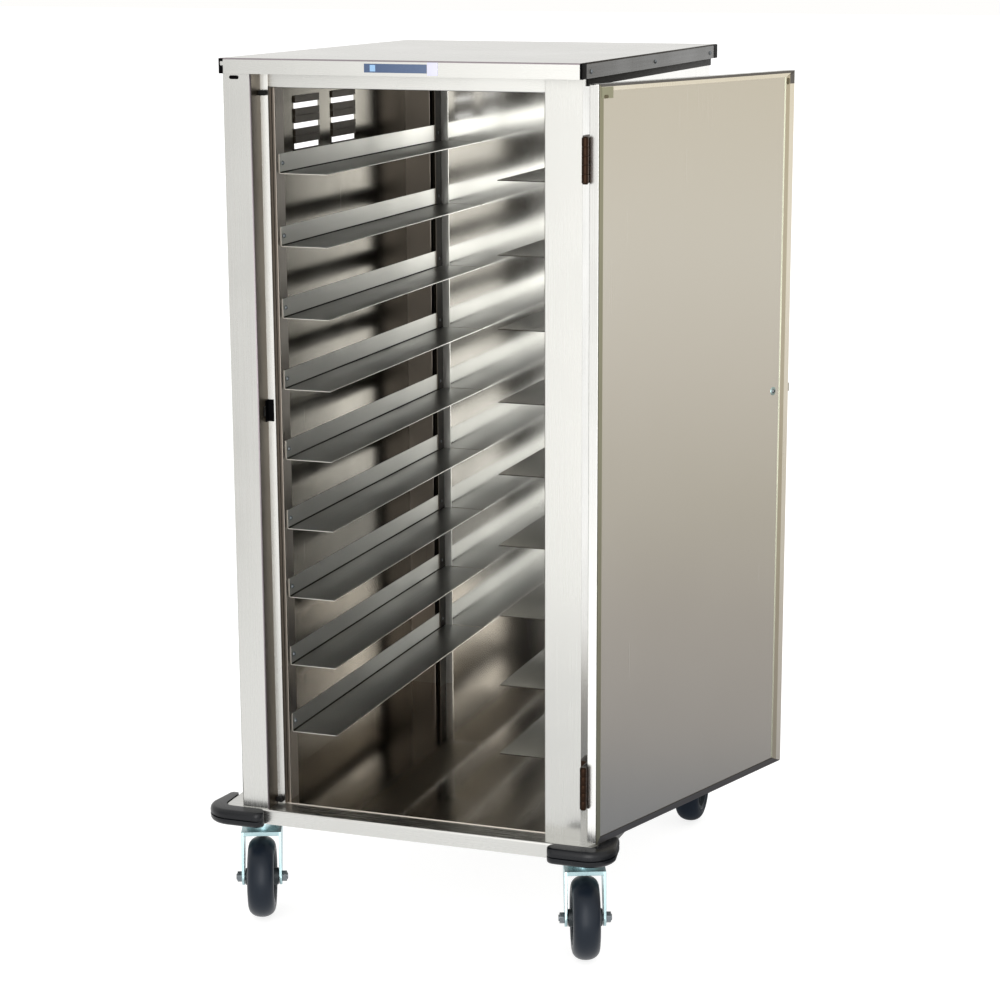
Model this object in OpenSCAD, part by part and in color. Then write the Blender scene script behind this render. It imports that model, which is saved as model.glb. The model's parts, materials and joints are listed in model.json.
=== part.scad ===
// Enclosed meal tray cart: a sheet-steel cabinet with nine pairs of tray ledges and one side-hinged door,
// on a base pan with corner bumpers and four swivel casters.
// X runs to the cart's right, Y to its back, Z up. The origin lies on the floor, in the middle of the
// whole footprint with the door standing open.

/* [Cabinet] */
// Width of the cabinet over its side panels
cab_w = 650; // [640:1:670]
// Depth of the cabinet, from the door recess to the back
cab_d = 824.5; // [800:0.5:850]
// Height of the cabinet walls above the base
cab_h = 1376.5; // [1370:0.5:1420]
// Thickness of the wall sheet
wall_t = 1.2; // [1:0.1:2]
// Width of the front frame on each side of the opening
stile_w = 67.5; // [64:0.5:72]
// How far the front frame is folded back
stile_return = 12; // [8:1:13]
// Height of the header above the opening
header_h = 51; // [44:1:60]
// Depth of the door recess behind the lid's front edge
recess_d = 47.5; // [46:0.5:54]
// Width of the post beside the latch edge of the door
post_w = 54; // [48:1:58]
// How far the post's face lies behind the lid's front edge
post_set = 6; // [3:0.5:10]

/* [Lid] */
// How far the lid reaches past the cabinet's left side
lid_over_left = 4; // [3:0.5:8]
// How far the lid reaches past the cabinet's hinge side
lid_over_right = 13; // [10:0.5:14]
// How far the lid reaches past the cabinet's back
lid_over_rear = 6; // [3:0.5:12]
// Height of the lid's folded rim
lid_rim_h = 27; // [22:1:32]
// Thickness of the lid's sheet
lid_t = 1.5; // [1:0.1:2.5]

/* [Vents] */
// Length of a vent slot
vent_l = 112; // [80:1:130]
// Height of a vent slot
vent_h = 12; // [6:0.5:16]
// Distance between the rows of slots
vent_row_pitch = 37.5; // [30:0.5:42]
// Distance between the two columns of slots
vent_col_pitch = 175; // [150:1:200]
// Middle of the first column behind the recess
vent_inset_y = 309.5; // [250:0.5:350]
// Top row's middle below the top of the walls
vent_inset_top = 99.5; // [90:0.5:110]

/* [Tray ledges] */
// Distance between one tray position and the next
tray_pitch = 130; // [120:0.5:134]
// Height of the lowest ledge above the base
first_ledge_h = 133.5; // [110:0.5:140]
// Width of a ledge's shelf
ledge_w = 90; // [60:1:120]
// Height of a ledge's web
ledge_web_h = 34; // [20:1:45]
// Thickness of the ledge and upright sheet
ledge_t = 1.5; // [1:0.1:2.5]
// Ledge screw in from the ledge's front end
ledge_screw_front = 12; // [8:1:20]
// Ledge screw in from the ledge's rear end
ledge_screw_rear = 16; // [10:1:30]
// Clear width between the webs of a pair
tray_clear_w = 500; // [490:1:510]
// Ledge's front end behind the recess
ledge_inset_front = 26.5; // [20:0.5:40]
// Ledge's rear end before the back panel
ledge_inset_rear = 3; // [1:0.5:12]
// Front upright's face behind the recess
upright_inset = 14.5; // [14:0.5:18]
// Depth of an upright's leg behind the ledge
upright_leg = 35; // [25:1:50]
// Width of the rear upright's face beside the side panel
rear_face_w = 55; // [30:1:60]
// Distance of the rear upright's face from the back panel
rear_fold = 12; // [8:0.5:16]

/* [Base] */
// How far the base reaches past the lid on each side
base_over_side = 32.5; // [30:0.5:40]
// How far the base reaches past the lid at the back
base_over_rear = 35; // [20:1:45]
// Height of the base pan's rim
base_rim_h = 28; // [24:1:36]
// Thickness of the base pan's sheet
base_t = 2; // [1.5:0.1:3]
// Radius of the base pan's corners
base_corner_r = 18; // [10:1:25]
// Width of a caster channel
channel_w = 100; // [96:1:108]
// Thickness of a caster channel's sheet
channel_t = 3; // [2:0.5:4]
// Width of a channel's foot against the pan
channel_foot = 12; // [8:1:16]

/* [Bumpers] */
// How far a bumper stands out from the base rim
bumper_t = 31; // [24:1:36]
// Height of a bumper
bumper_h = 30; // [24:1:31]
// How far a bumper stands above the base
bumper_rise = 1; // [0:0.5:2]
// Radius of a bumper's rounded edges
bumper_edge_r = 9; // [4:0.5:11]
// Reach of a bumper's front arm from the base's corner
bumper_arm_front = 88; // [70:1:110]
// Reach of a bumper's side arm from the base's corner
bumper_arm_side = 76; // [60:1:140]

/* [Door] */
// Thickness of the door
door_t = 21.5; // [18:0.5:23]
// Thickness of the door's sheet
door_sheet = 1.2; // [0.9:0.1:1.5]
// Width of the border folded over the door's inner panel
door_border = 11; // [8:0.5:16]
// Width of the border at the door's latch edge
door_border_latch = 28; // [16:1:32]
// Outer face of the door behind the lid's front edge
door_set = 12.5; // [12:0.5:14]
// Gap between the door's latch edge and the post
door_gap_latch = 2.7; // [2.5:0.1:4]
// How far the door reaches past the cabinet's hinge side
door_over_hinge = 10.7; // [9:0.1:11]
// Gap between the door and the lid's rim above it
door_gap_top = 7.2; // [4:0.2:12]
// Gap between the door and the base below it
door_gap_bottom = 4.4; // [3:0.2:8]
// Angle at which the door stands open
door_open = 250.8; // [200:0.1:268]
// Width of the stiffeners inside the door
stiffener_w = 60; // [40:1:80]
// Stiffeners' ends in from the door's edges
stiffener_inset = 20; // [14:1:40]
// Height of the two stiffeners above the door's bottom, as a share of its height
stiffener_at = [0.25, 0.75];

/* [Hinges] */
// Height of a hinge
hinge_h = 76; // [60:1:90]
// Diameter of a hinge's knuckle
knuckle_d = 12.5; // [11:0.1:12.9]
// Diameter of a hinge's pin
pin_d = 6; // [5:0.1:7]
// Clearance round the pin
pin_clear = 0.05; // [0.02:0.01:0.1]
// Thickness of a hinge leaf
leaf_t = 2.2; // [1.8:0.1:2.4]
// Length of a hinge leaf on its panel
leaf_w = 34; // [28:1:42]
// Pin's axis beyond the door's hinge edge
pin_out = 6.3; // [6:0.1:6.6]
// Pin's axis in front of the door's outer face
pin_fore = 3; // [3:0.1:3.5]
// Top of the upper hinge below the door's top
hinge_inset_top = 88.8; // [60:0.2:140]
// Bottom of the lower hinge above the door's bottom
hinge_inset_bottom = 64.6; // [40:0.2:120]
// Gap between neighbouring knuckles
knuckle_gap = 0.5; // [0.3:0.1:0.8]
// Room round a knuckle in the other leaf
knuckle_clear = 0.5; // [0.3:0.1:0.7]
// Gap between the door's hinge edge and the cabinet's leaf
leaf_gap = 0.8; // [0.5:0.1:1.5]
// Hinge screws in from the leaf's end
leaf_screw_inset = 10; // [8:0.5:13]
// Heights of the hinge screws, as shares of the hinge's height
leaf_screw_at = [0.22, 0.78];
// Diameter of the heads of a hinge pin
pin_head_d = 10; // [7:0.5:12]
// Height of the heads of a hinge pin
pin_head_h = 2; // [1:0.1:3]

/* [Latch] */
// Height of the latch above the door's bottom
latch_h = 743.6; // [600:0.2:850]
// Middle of the latch in from the door's latch edge
latch_inset = 50; // [48:1:60]
// Width of the latch cup
cup_w = 66; // [60:1:72]
// Height of the latch cup
cup_h = 96; // [80:1:120]
// Depth of the latch cup
cup_d = 12.5; // [11:0.5:13]
// Width of the cup's face flange
cup_flange = 7; // [5:0.5:9]
// Thickness of the cup's sheet
cup_t = 1.2; // [1:0.1:1.5]
// Thickness of the paddle
paddle_t = 2.5; // [2:0.1:3.5]
// Gap round the paddle
paddle_gap = 1.5; // [1:0.1:3]
// Diameter of the paddle's pivot
paddle_pin_d = 4; // [3:0.5:5]
// Gap round the cup in the door, and at the ends of the paddle's pivot
cup_fit = 0.2; // [0.1:0.1:0.4]
// Diameter of the screw that holds the cup from inside
cup_screw_d = 6; // [4:0.5:8]
// Diameter of the washer under that screw's head
washer_d = 16; // [12:1:24]
// Thickness of the washer
washer_t = 1; // [0.5:0.1:2]
// Height of the latch bolt
bolt_h = 16; // [12:0.5:20]
// Thickness of the latch bolt
bolt_t = 4.5; // [3:0.1:4.8]
// Length of the latch bolt
bolt_l = 40; // [36:1:44]
// How far the latch bolt stands out of the door's edge
bolt_throw = 9; // [7:0.5:10]
// Gap between the latch bolt and the door's inner panel
bolt_gap = 0.6; // [0.4:0.1:1]
// Gap round the latch bolt in the door's edge
bolt_clear = 0.4; // [0.3:0.1:0.8]
// Gap round the latch bolt in the post and the strike
mouth_gap = 1.2; // [0.8:0.1:2]
// Strike's front edge behind the post's face
strike_inset = 3; // [2:0.5:5]
// Height of the strike plate
strike_h = 40; // [30:1:60]
// Thickness of the strike plate
strike_t = 1.2; // [0.8:0.1:1.4]
// Thickness of a rubber stop pad
stop_t = 12.8; // [12:0.1:13]
// Height of a rubber stop pad
stop_h = 9; // [8:0.5:20]

/* [Casters] */
// Height of a caster from the floor to its plate's top
caster_h = 193; // [190:0.5:200]
// Diameter of a wheel
wheel_d = 152; // [140:1:154]
// Width of a tyre
tyre_w = 50; // [30:1:56]
// Radius of the wheel's core inside the tyre
core_r = 49; // [44:0.5:54]
// Length of the wheel's hub
hub_l = 62; // [50:1:63]
// Diameter of the axle bolt
axle_d = 12; // [10:0.5:14]
// Clearance of the running fits at the axle and the king pin
fit_clear = 0.08; // [0.03:0.01:0.1]
// Distance from the swivel axis to the wheel's axis
caster_trail = 42; // [36:1:46]
// Clear width between the fork's legs
fork_clear = 65; // [64:0.5:70]
// Thickness of the fork's legs
fork_t = 5; // [3:0.5:6]
// Thickness of the fork's crown
crown_t = 8; // [5:0.5:9]
// Reach of the fork's crown before the swivel axis
crown_front = 28; // [24:1:32]
// Reach of the fork's crown behind the swivel axis
crown_back = 46; // [40:1:50]
// Room between the wheel and the fork's crown
wheel_room = 5; // [3:0.5:6]
// Radius of the fork's legs round the axle
fork_eye_r = 16; // [12:1:20]
// Thickness of the caster's top plate
plate_t = 6; // [4:0.5:7]
// Width of the top plate, across the cart
plate_w = 67; // [60:1:76]
// Length of the top plate, along the cart
plate_l = 92; // [84:1:100]
// Spacing of the plate's bolts across the cart
plate_bolt_x = 44; // [40:1:46]
// Spacing of the plate's bolts along the cart
plate_bolt_y = 72; // [66:1:76]
// Diameter of the plate's bolts
plate_bolt_d = 8; // [6:0.5:9]
// Diameter of the swivel race
race_d = 60; // [54:1:64]
// How far the lower race reaches past the upper one
race_step = 3; // [0:0.5:5]
// Running gap between the fork and what turns against it
race_gap = 0.4; // [0.3:0.1:0.6]
// Diameter of the king pin
king_d = 16; // [12:0.5:20]
// Diameter of the king pin's head
king_head_d = 24; // [22:1:28]
// Height of the king pin's head
king_head_h = 4; // [2:0.5:4.5]
// Diameter of the wheel's hub
hub_d = 32; // [28:1:40]
// Thickness of the web between hub and tyre
hub_web = 10; // [6:1:16]
// Thickness of the core's rim under the tyre
core_rim = 6; // [4:0.5:8]
// How far the core's rim stays inside the tyre's sides
rim_step = 2; // [0:0.5:4]
// Swivel axis in from the side of the base
stem_inset_side = 46; // [44:1:60]
// Swivel axis in from the front and the back of the base
stem_inset_end = 69; // [66:1:90]
// Swivel angle of each caster: front left, front right, rear left, rear right
swivel = [21.5, 21.5, 9, 3.5];

/* [Trim] */
// Length of the name plate on the lid's rim
label_w = 115; // [80:1:140]
// Height of the name plate
label_h = 15; // [10:0.5:18]
// Thickness of the name plate
label_t = 1; // [0.6:0.1:1.5]
// Left end of the name plate left of the lid's middle
label_left = 58; // [20:1:120]
// Width of the square plate beside the name plate
badge_w = 19; // [12:1:24]
// Height of the square plate
badge_h = 22; // [12:1:22]
// Gap between the two plates
badge_gap = 1; // [0.5:0.5:10]
// Diameter of a screw's head
screw_head_d = 9; // [6:0.5:11]
// Lid screws in from the lid's front and back
lid_screw_inset = 55; // [40:1:80]
// Lid screws above the rim's lower edge
lid_screw_h = 11; // [8:0.5:14]
// Height of a screw's head
screw_head_h = 2.4; // [1.5:0.1:3]
// Diameter of a screw's shank
screw_d = 4; // [3:0.1:5]
// Clearance round a screw's shank in its hole
screw_clear = 0.05; // [0.02:0.01:0.1]
// How far a screw reaches past the last sheet that it holds
screw_tail = 2; // [1:0.5:3]

/* [Hidden] */
$fn = 64;
ledge_count = 9;
eps = 0.01;
// How far a cut runs past the face that it opens
cut = 1;

// Heights
base_z = caster_h;
deck_z = caster_h + base_rim_h;
wall_top = deck_z + cab_h;
lid_top = wall_top + lid_t;
lid_bottom = lid_top - lid_rim_h;
door_z0 = deck_z + door_gap_bottom;
door_z1 = lid_bottom - door_gap_top;
opening_top = wall_top - header_h;
latch_z = door_z0 + latch_h;
floor_top = deck_z + wall_t;
upright_top = opening_top;

// Across the cart, from the middle of the lid
lid_w = cab_w + lid_over_left + lid_over_right;
cab_left = -lid_w / 2 + lid_over_left;
cab_right = cab_left + cab_w;
cab_mid = (cab_left + cab_right) / 2;
post_right = cab_left + post_w;
base_w = lid_w + 2 * base_over_side;
web_face = tray_clear_w / 2;
leg_face = web_face + ledge_t;
half_in = cab_w / 2 - wall_t;

// Along the cart, from the lid's front edge
lid_d = recess_d + cab_d + lid_over_rear;
cab_back = recess_d + cab_d;
inner_back = cab_back - wall_t;
base_d = lid_d + base_over_rear;
upright_y = recess_d + upright_inset;
ledge_y0 = recess_d + ledge_inset_front;
ledge_y1 = inner_back - ledge_inset_rear;

// Door, as it lies when closed
door_x0 = post_right + door_gap_latch;
door_x1 = cab_right + door_over_hinge;
door_y1 = door_set + door_t;
pin_x = door_x1 + pin_out;
pin_y = door_set - pin_fore;
knuckle_r = knuckle_d / 2;
hinge_z = [door_z0 + hinge_inset_bottom, door_z1 - hinge_inset_top - hinge_h];
knuckle_step = hinge_h / 5;
latch_x = door_x0 + latch_inset;
leaf_x = door_x1 + leaf_gap;
bolt_y = door_y1 - 2 * door_sheet - bolt_t - bolt_gap;
paddle_x = latch_x - cup_w / 2 + cup_t + paddle_gap + paddle_pin_d / 2 + cup_fit;
paddle_y = door_set + paddle_pin_d / 2 + cup_fit;
stop_zs = [deck_z + stop_h, opening_top - stop_h];

// Casters
wheel_r = wheel_d / 2;
crown_z = wheel_d + wheel_room;
race_z = (crown_z + crown_t + base_z - plate_t) / 2;
stem_x = base_w / 2 - stem_inset_side;
stem_ys = [stem_inset_end, base_d - stem_inset_end];

// Standard nuts and heads: radius to the corners, height of a nut and of a head, as shares of the thread
hex_share = 0.9;
nut_share = 0.75;
head_share = 0.6;
hex_r = axle_d * hex_share;
nut_h = axle_d * nut_share;
axle_l = fork_clear + 2 * fork_t;

// Footprint with the door open, and its middle
function turned(x, y) = [
    pin_x + (x - pin_x) * cos(door_open) - (y - pin_y) * sin(door_open),
    pin_y + (x - pin_x) * sin(door_open) + (y - pin_y) * cos(door_open)
];
door_reach = max(turned(door_x0, door_y1)[0], turned(door_x0 - bolt_throw, bolt_y + bolt_t)[0]);
wheel_reach = caster_trail * cos(swivel[0]) + (wheel_r - tyre_w / 2) * cos(swivel[0]) + tyre_w / 2;
foot_x = [-base_w / 2 - bumper_t, max(base_w / 2 + bumper_t, door_reach)];
foot_y = [min(-bumper_t, stem_ys[0] - wheel_reach), base_d + bumper_t];
frame_origin = [(foot_x[0] + foot_x[1]) / 2, (foot_y[0] + foot_y[1]) / 2, 0];

// --- Placing ---

module in_frame() translate(-frame_origin) children();

// A box from its lowest corner to its highest
module block(a, b) translate(a) cube(b - a);

// Left and right copies about the middle of the cabinet
module both_sides() {
    for (side = [1, -1]) translate([cab_mid, 0, 0]) scale_x(side) children();
}
module scale_x(side) {
    if (side > 0) children();
    else mirror([1, 0, 0]) children();
}

module on_door() {
    in_frame() translate([pin_x, pin_y, 0]) rotate(door_open) translate([-pin_x, -pin_y, 0]) children();
}

// Swivel axis of one caster: side -1 is left, end 0 is the front
module at_stem(side, end) in_frame() translate([side * stem_x, stem_ys[end], 0]) children();

// The same, turned with the fork, whose wheel trails towards -Y
module at_fork(side, end) at_stem(side, end) rotate(swivel[(side + 1) / 2 + 2 * end]) children();

module rod(d, h) cylinder(d = d, h = h);

// Screw along +X, its head's seat at the origin and its shank of length l behind it
module screw_x(l) {
    top_share = 0.6;
    rotate([0, 90, 0]) cylinder(d1 = screw_head_d, d2 = screw_head_d * top_share, h = screw_head_h);
    translate([-l, 0, 0]) rotate([0, 90, 0]) rod(screw_d, l + eps);
}

// Its hole, along X and as long to both sides of the origin
module screw_hole_x(reach) translate([-reach, 0, 0]) rotate([0, 90, 0])
    rod(screw_d + 2 * screw_clear, 2 * reach);

// --- Base ---

module base_outline(inset) {
    w = base_w / 2 - inset;
    d = base_d - inset;
    r = base_corner_r - inset;
    translate([-w, inset + r]) square([2 * w, d - inset - 2 * r]);
    translate([-w + r, inset]) square([2 * (w - r), d - inset]);
    for (x = [-w + r, w - r], y = [inset + r, d - r]) translate([x, y]) circle(r);
}

module base_pan() color("gainsboro") in_frame() difference() {
    translate([0, 0, base_z]) linear_extrude(base_rim_h) base_outline(0);
    translate([0, 0, base_z - cut]) linear_extrude(base_rim_h - base_t + cut) base_outline(base_t);
}

module caster_channels() color("silver") for (end = [0, 1]) in_frame() {
    l = base_w / 2 - base_t;
    top = deck_z - base_t;
    y = stem_ys[end];
    difference() {
        union() {
            block([-l, y - channel_w / 2, base_z], [l, y + channel_w / 2, top]);
            block([-l, y - channel_w / 2 - channel_foot, top - channel_t],
                [l, y + channel_w / 2 + channel_foot, top]);
        }
        block([-l - cut, y - channel_w / 2 + channel_t, base_z + channel_t],
            [l + cut, y + channel_w / 2 - channel_t, top + cut]);
        for (side = [-1, 1]) translate([side * stem_x, y, 0]) plate_bolt_places()
            translate([0, 0, base_z - cut]) rod(plate_bolt_d + 2 * fit_clear, channel_t + 2 * cut);
        // clear of the pan's rounded corners
        for (side = [-1, 1]) corner_relief(side, end);
    }
}

module corner_relief(side, end) {
    r = base_corner_r;
    x = side * base_w / 2;
    y = end == 0 ? 0 : base_d;
    block([min(x, x - side * r), min(y, y + (1 - 2 * end) * r), 0],
        [max(x, x - side * r), max(y, y + (1 - 2 * end) * r), deck_z + cut]);
}

module floor_panel() color("dimgray") in_frame()
    block([cab_left + wall_t, recess_d + wall_t, deck_z], [cab_right - wall_t, inner_back, floor_top]);

// --- Cabinet shell ---

module vents(x) {
    for (row = [0:2], col = [0, 1]) {
        y = recess_d + vent_inset_y + col * vent_col_pitch;
        z = wall_top - vent_inset_top - row * vent_row_pitch;
        block([x - wall_t - cut, y - vent_l / 2, z - vent_h / 2],
            [x + wall_t + cut, y + vent_l / 2, z + vent_h / 2]);
    }
}

module left_side_panel() color("gainsboro") in_frame() difference() {
    block([cab_left, recess_d + wall_t, deck_z], [cab_left + wall_t, cab_back - wall_t, wall_top]);
    vents(cab_left);
    lid_screw_holes();
}

module right_side_panel() color("gainsboro") in_frame() difference() {
    block([cab_right - wall_t, recess_d + wall_t, deck_z], [cab_right, cab_back - wall_t, wall_top]);
    vents(cab_right);
    hinge_screw_holes();
    lid_screw_holes();
}

module back_panel() color("gainsboro") in_frame()
    block([cab_left, inner_back, deck_z], [cab_right, cab_back, wall_top]);

module lid() color("whitesmoke") in_frame() difference() {
    block([-lid_w / 2, 0, lid_bottom], [lid_w / 2, lid_d, lid_top]);
    block([-lid_w / 2 + lid_t, lid_t, lid_bottom - cut], [lid_w / 2 - lid_t, lid_d - lid_t, wall_top]);
    lid_screw_holes();
}

module latch_post() color("whitesmoke") in_frame() difference() {
    block([cab_left, post_set, deck_z], [post_right, recess_d, wall_top]);
    block([cab_left + wall_t, post_set + wall_t, deck_z - cut],
        [post_right - wall_t, recess_d - wall_t, wall_top + cut]);
    bolt_mouth();
}

// Mouth that the latch bolt enters when the door is closed
module bolt_mouth() block(
    [post_right - wall_t - cut, bolt_y - mouth_gap, latch_z - bolt_h / 2 - mouth_gap],
    [post_right + strike_t + cut, bolt_y + bolt_t + mouth_gap, latch_z + bolt_h / 2 + mouth_gap]);

// Front frame piece from x0 to x1, folded back along the opening at the side that faces it
module frame_upright(x0, x1, fold_at) union() {
    block([x0, recess_d, deck_z], [x1, recess_d + wall_t, wall_top]);
    block([fold_at, recess_d, floor_top], [fold_at + wall_t, recess_d + stile_return, wall_top]);
}

module jamb_strip() color("whitesmoke") in_frame()
    frame_upright(cab_left, cab_left + stile_w, cab_left + stile_w - wall_t);

module hinge_stile() color("whitesmoke") in_frame()
    frame_upright(cab_right - stile_w, cab_right, cab_right - stile_w);

module header() color("whitesmoke") in_frame() {
    block([cab_left + stile_w, recess_d, opening_top], [cab_right - stile_w, recess_d + wall_t, wall_top]);
    block([cab_left + stile_w, recess_d, opening_top],
        [cab_right - stile_w, recess_d + stile_return, opening_top + wall_t]);
}

// --- Ledges and their uprights ---

module front_uprights() color("silver") in_frame() both_sides() {
    block([leg_face, upright_y, floor_top], [half_in, upright_y + ledge_t, upright_top]);
    block([leg_face, upright_y, floor_top], [leg_face + ledge_t, upright_y + upright_leg, upright_top]);
}

module rear_uprights() color("silver") in_frame() both_sides() {
    fold_x = half_in - rear_face_w;
    y = inner_back - rear_fold;
    block([fold_x, y, floor_top], [half_in, y + ledge_t, upright_top]);
    block([fold_x, y, floor_top], [fold_x + ledge_t, inner_back, upright_top]);
    block([leg_face, inner_back - ledge_t, floor_top], [fold_x + ledge_t, inner_back, upright_top]);
    block([leg_face, inner_back - upright_leg, floor_top], [leg_face + ledge_t, inner_back, upright_top]);
}

function ledge_z(i) = deck_z + first_ledge_h + (ledge_count - i) * tray_pitch;

// Pair i of ledges, counted from the top: shelves that point inwards below standing webs
module ledge_pair(i) color("darkgray") in_frame() both_sides() difference() {
    z = ledge_z(i);
    union() {
        block([web_face, ledge_y0, z - ledge_t], [leg_face, ledge_y1, z + ledge_web_h]);
        block([leg_face - ledge_w, ledge_y0, z - ledge_t], [leg_face, ledge_y1, z]);
    }
    ledge_screw_places(i) screw_hole_x(ledge_t + cut);
}

module ledge_screw_places(i) {
    for (y = [ledge_y0 + ledge_screw_front, ledge_y1 - ledge_screw_rear])
        translate([web_face, y, ledge_z(i) + ledge_web_h / 2]) children();
}

module ledge_screws() color("dimgray") in_frame() both_sides() for (i = [1:ledge_count])
    ledge_screw_places(i) mirror([1, 0, 0]) screw_x(ledge_t);

// --- Bumpers ---

module bumper_profile() {
    r = bumper_edge_r;
    square([bumper_t - r, bumper_h]);
    translate([0, r]) square([bumper_t, bumper_h - 2 * r]);
    for (y = [r, bumper_h - r]) translate([bumper_t - r, y]) circle(r);
}

// Straight arm of length l along +Y, standing out towards +X, with a round end
module bumper_arm(l) intersection() {
    rotate([90, 0, 180]) mirror([1, 0, 0]) linear_extrude(l) bumper_profile();
    union() {
        block([-cut, -cut, -cut], [bumper_t + cut, l - bumper_t / 2, bumper_h + cut]);
        translate([bumper_t / 2, l - bumper_t / 2, -cut]) rod(bumper_t, bumper_h + 2 * cut);
    }
}

// Bumper round the front right corner of the base
module corner_bumper() {
    r = base_corner_r;
    translate([base_w / 2 - r, r, deck_z + bumper_rise - bumper_h]) {
        translate([r, 0, 0]) bumper_arm(bumper_arm_side - r);
        rotate(-90) rotate_extrude(angle = 90) translate([r, 0]) bumper_profile();
        translate([0, -r, 0]) rotate(90) mirror([1, 0, 0]) bumper_arm(bumper_arm_front - r);
    }
}

module bumper(side, end) color("darkslategray") in_frame()
    translate([0, end * base_d, 0]) mirror([0, end, 0]) scale_x(side) corner_bumper();

// --- Hinges ---

// Knuckles of one hinge, every other one of its five, starting at first
module knuckles(first) {
    for (k = [first:2:4]) translate([pin_x, pin_y, k * knuckle_step + knuckle_gap / 2])
        rod(knuckle_d, knuckle_step - knuckle_gap);
}

module pin_bore() translate([pin_x, pin_y, -cut]) rod(pin_d + 2 * pin_clear, hinge_h + 2 * cut);

// Room for the other leaf's knuckles
module knuckle_room(first) {
    for (k = [first:2:4]) translate([pin_x, pin_y, k * knuckle_step - knuckle_gap / 2])
        rod(knuckle_d + 2 * knuckle_clear, knuckle_step + knuckle_gap);
}

module leaf_screw_places() {
    for (k = leaf_screw_at) translate([0, 0, k * hinge_h]) children();
}

module hinge_screw_holes() {
    for (z = hinge_z) translate([cab_right, recess_d + leaf_w - leaf_screw_inset, z]) leaf_screw_places()
        screw_hole_x(leaf_t + wall_t + cut);
}

module cabinet_hinge_leaves() color("saddlebrown") in_frame() for (z = hinge_z) difference() {
    translate([0, 0, z]) difference() {
        union() {
            knuckles(0);
            block([leaf_x, pin_y, 0], [leaf_x + leaf_t, recess_d + leaf_t, hinge_h]);
            block([cab_right, recess_d, 0], [leaf_x + leaf_t, recess_d + leaf_t, hinge_h]);
            block([cab_right, recess_d, 0], [cab_right + leaf_t, recess_d + leaf_w, hinge_h]);
        }
        knuckle_room(1);
        pin_bore();
    }
    hinge_screw_holes();
}

module hinge_pins() color("dimgray") in_frame() for (z = hinge_z)
    translate([pin_x, pin_y, z - pin_head_h]) union() {
        rod(pin_d, hinge_h + pin_head_h);
        rod(pin_head_d, pin_head_h - knuckle_gap / 2);
        translate([0, 0, hinge_h + pin_head_h]) rod(pin_head_d, pin_head_h);
    }

module cabinet_screws() color("dimgray") in_frame() {
    for (z = hinge_z) translate([cab_right + leaf_t, recess_d + leaf_w - leaf_screw_inset, z])
        leaf_screw_places() screw_x(leaf_t + wall_t + screw_tail);
    for (side = [1, -1]) lid_screw_places(side) screw_x(lid_reach(side));
}

// Screws through the rim of the lid at one side of the cart, drawn for the right
module lid_screw_places(side) scale_x(side) {
    for (y = [lid_screw_inset, lid_d / 2, lid_d - lid_screw_inset])
        translate([lid_w / 2, y, lid_bottom + lid_screw_h]) children();
}

module lid_screw_holes() for (side = [1, -1]) lid_screw_places(side) screw_hole_x(lid_reach(side));

// Length of a lid screw's shank: through the rim, the overhang and the side panel
function lid_reach(side) = (side > 0 ? lid_over_right : lid_over_left) + wall_t + screw_tail;

module door_hinge_leaves() color("saddlebrown") on_door()
    for (z = hinge_z) translate([0, 0, z]) difference() {
        union() {
            knuckles(1);
            block([door_x1 - leaf_w, door_set - leaf_t, 0], [pin_x, door_set, hinge_h]);
        }
        knuckle_room(0);
        leaf_notches();
        pin_bore();
        leaf_screw_places() door_leaf_screw() screw_hole_x(leaf_t + door_sheet + cut);
    }

// The door's leaf is notched beside the cabinet's knuckles
module leaf_notches() {
    for (k = [0:2:4]) block(
        [pin_x - knuckle_r - knuckle_clear, pin_y - knuckle_r, k * knuckle_step - knuckle_gap / 2],
        [pin_x + knuckle_r, pin_y + knuckle_r, (k + 1) * knuckle_step + knuckle_gap / 2]);
}

// Seat of a screw in the door's leaf, facing forwards
module door_leaf_screw() translate([door_x1 - leaf_w + leaf_screw_inset, door_set - leaf_t, 0])
    rotate(-90) children();

// --- Door, drawn closed ---

module door_pan() color("gainsboro") on_door() difference() {
    block([door_x0, door_set, door_z0], [door_x1, door_y1, door_z1]);
    block([door_x0 + door_sheet, door_set + door_sheet, door_z0 + door_sheet],
        [door_x1 - door_sheet, door_y1 - door_sheet, door_z1 - door_sheet]);
    block([door_x0 + door_border_latch, door_y1 - 2 * door_sheet, door_z0 + door_border],
        [door_x1 - door_border, door_y1 + cut, door_z1 - door_border]);
    // cup and latch bolt
    block([latch_x - cup_w / 2, door_set - cut, latch_z - cup_h / 2],
        [latch_x + cup_w / 2, door_set + door_sheet + cut, latch_z + cup_h / 2]);
    block([door_x0 - cut, bolt_y - bolt_clear, latch_z - bolt_h / 2 - bolt_clear],
        [door_x0 + door_sheet + cut, bolt_y + bolt_t + bolt_clear, latch_z + bolt_h / 2 + bolt_clear]);
    for (z = hinge_z) translate([0, 0, z]) leaf_screw_places()
        door_leaf_screw() screw_hole_x(leaf_t + door_sheet + cut);
}

module door_inner_panel() color("silver") on_door() difference() {
    block([door_x0 + door_sheet, door_y1 - 2 * door_sheet, door_z0 + door_sheet],
        [door_x1 - door_sheet, door_y1 - door_sheet, door_z1 - door_sheet]);
    translate([latch_x, door_y1, latch_z]) rotate([90, 0, 0])
        rod(cup_screw_d + 2 * fit_clear, 3 * door_sheet);
}

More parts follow.
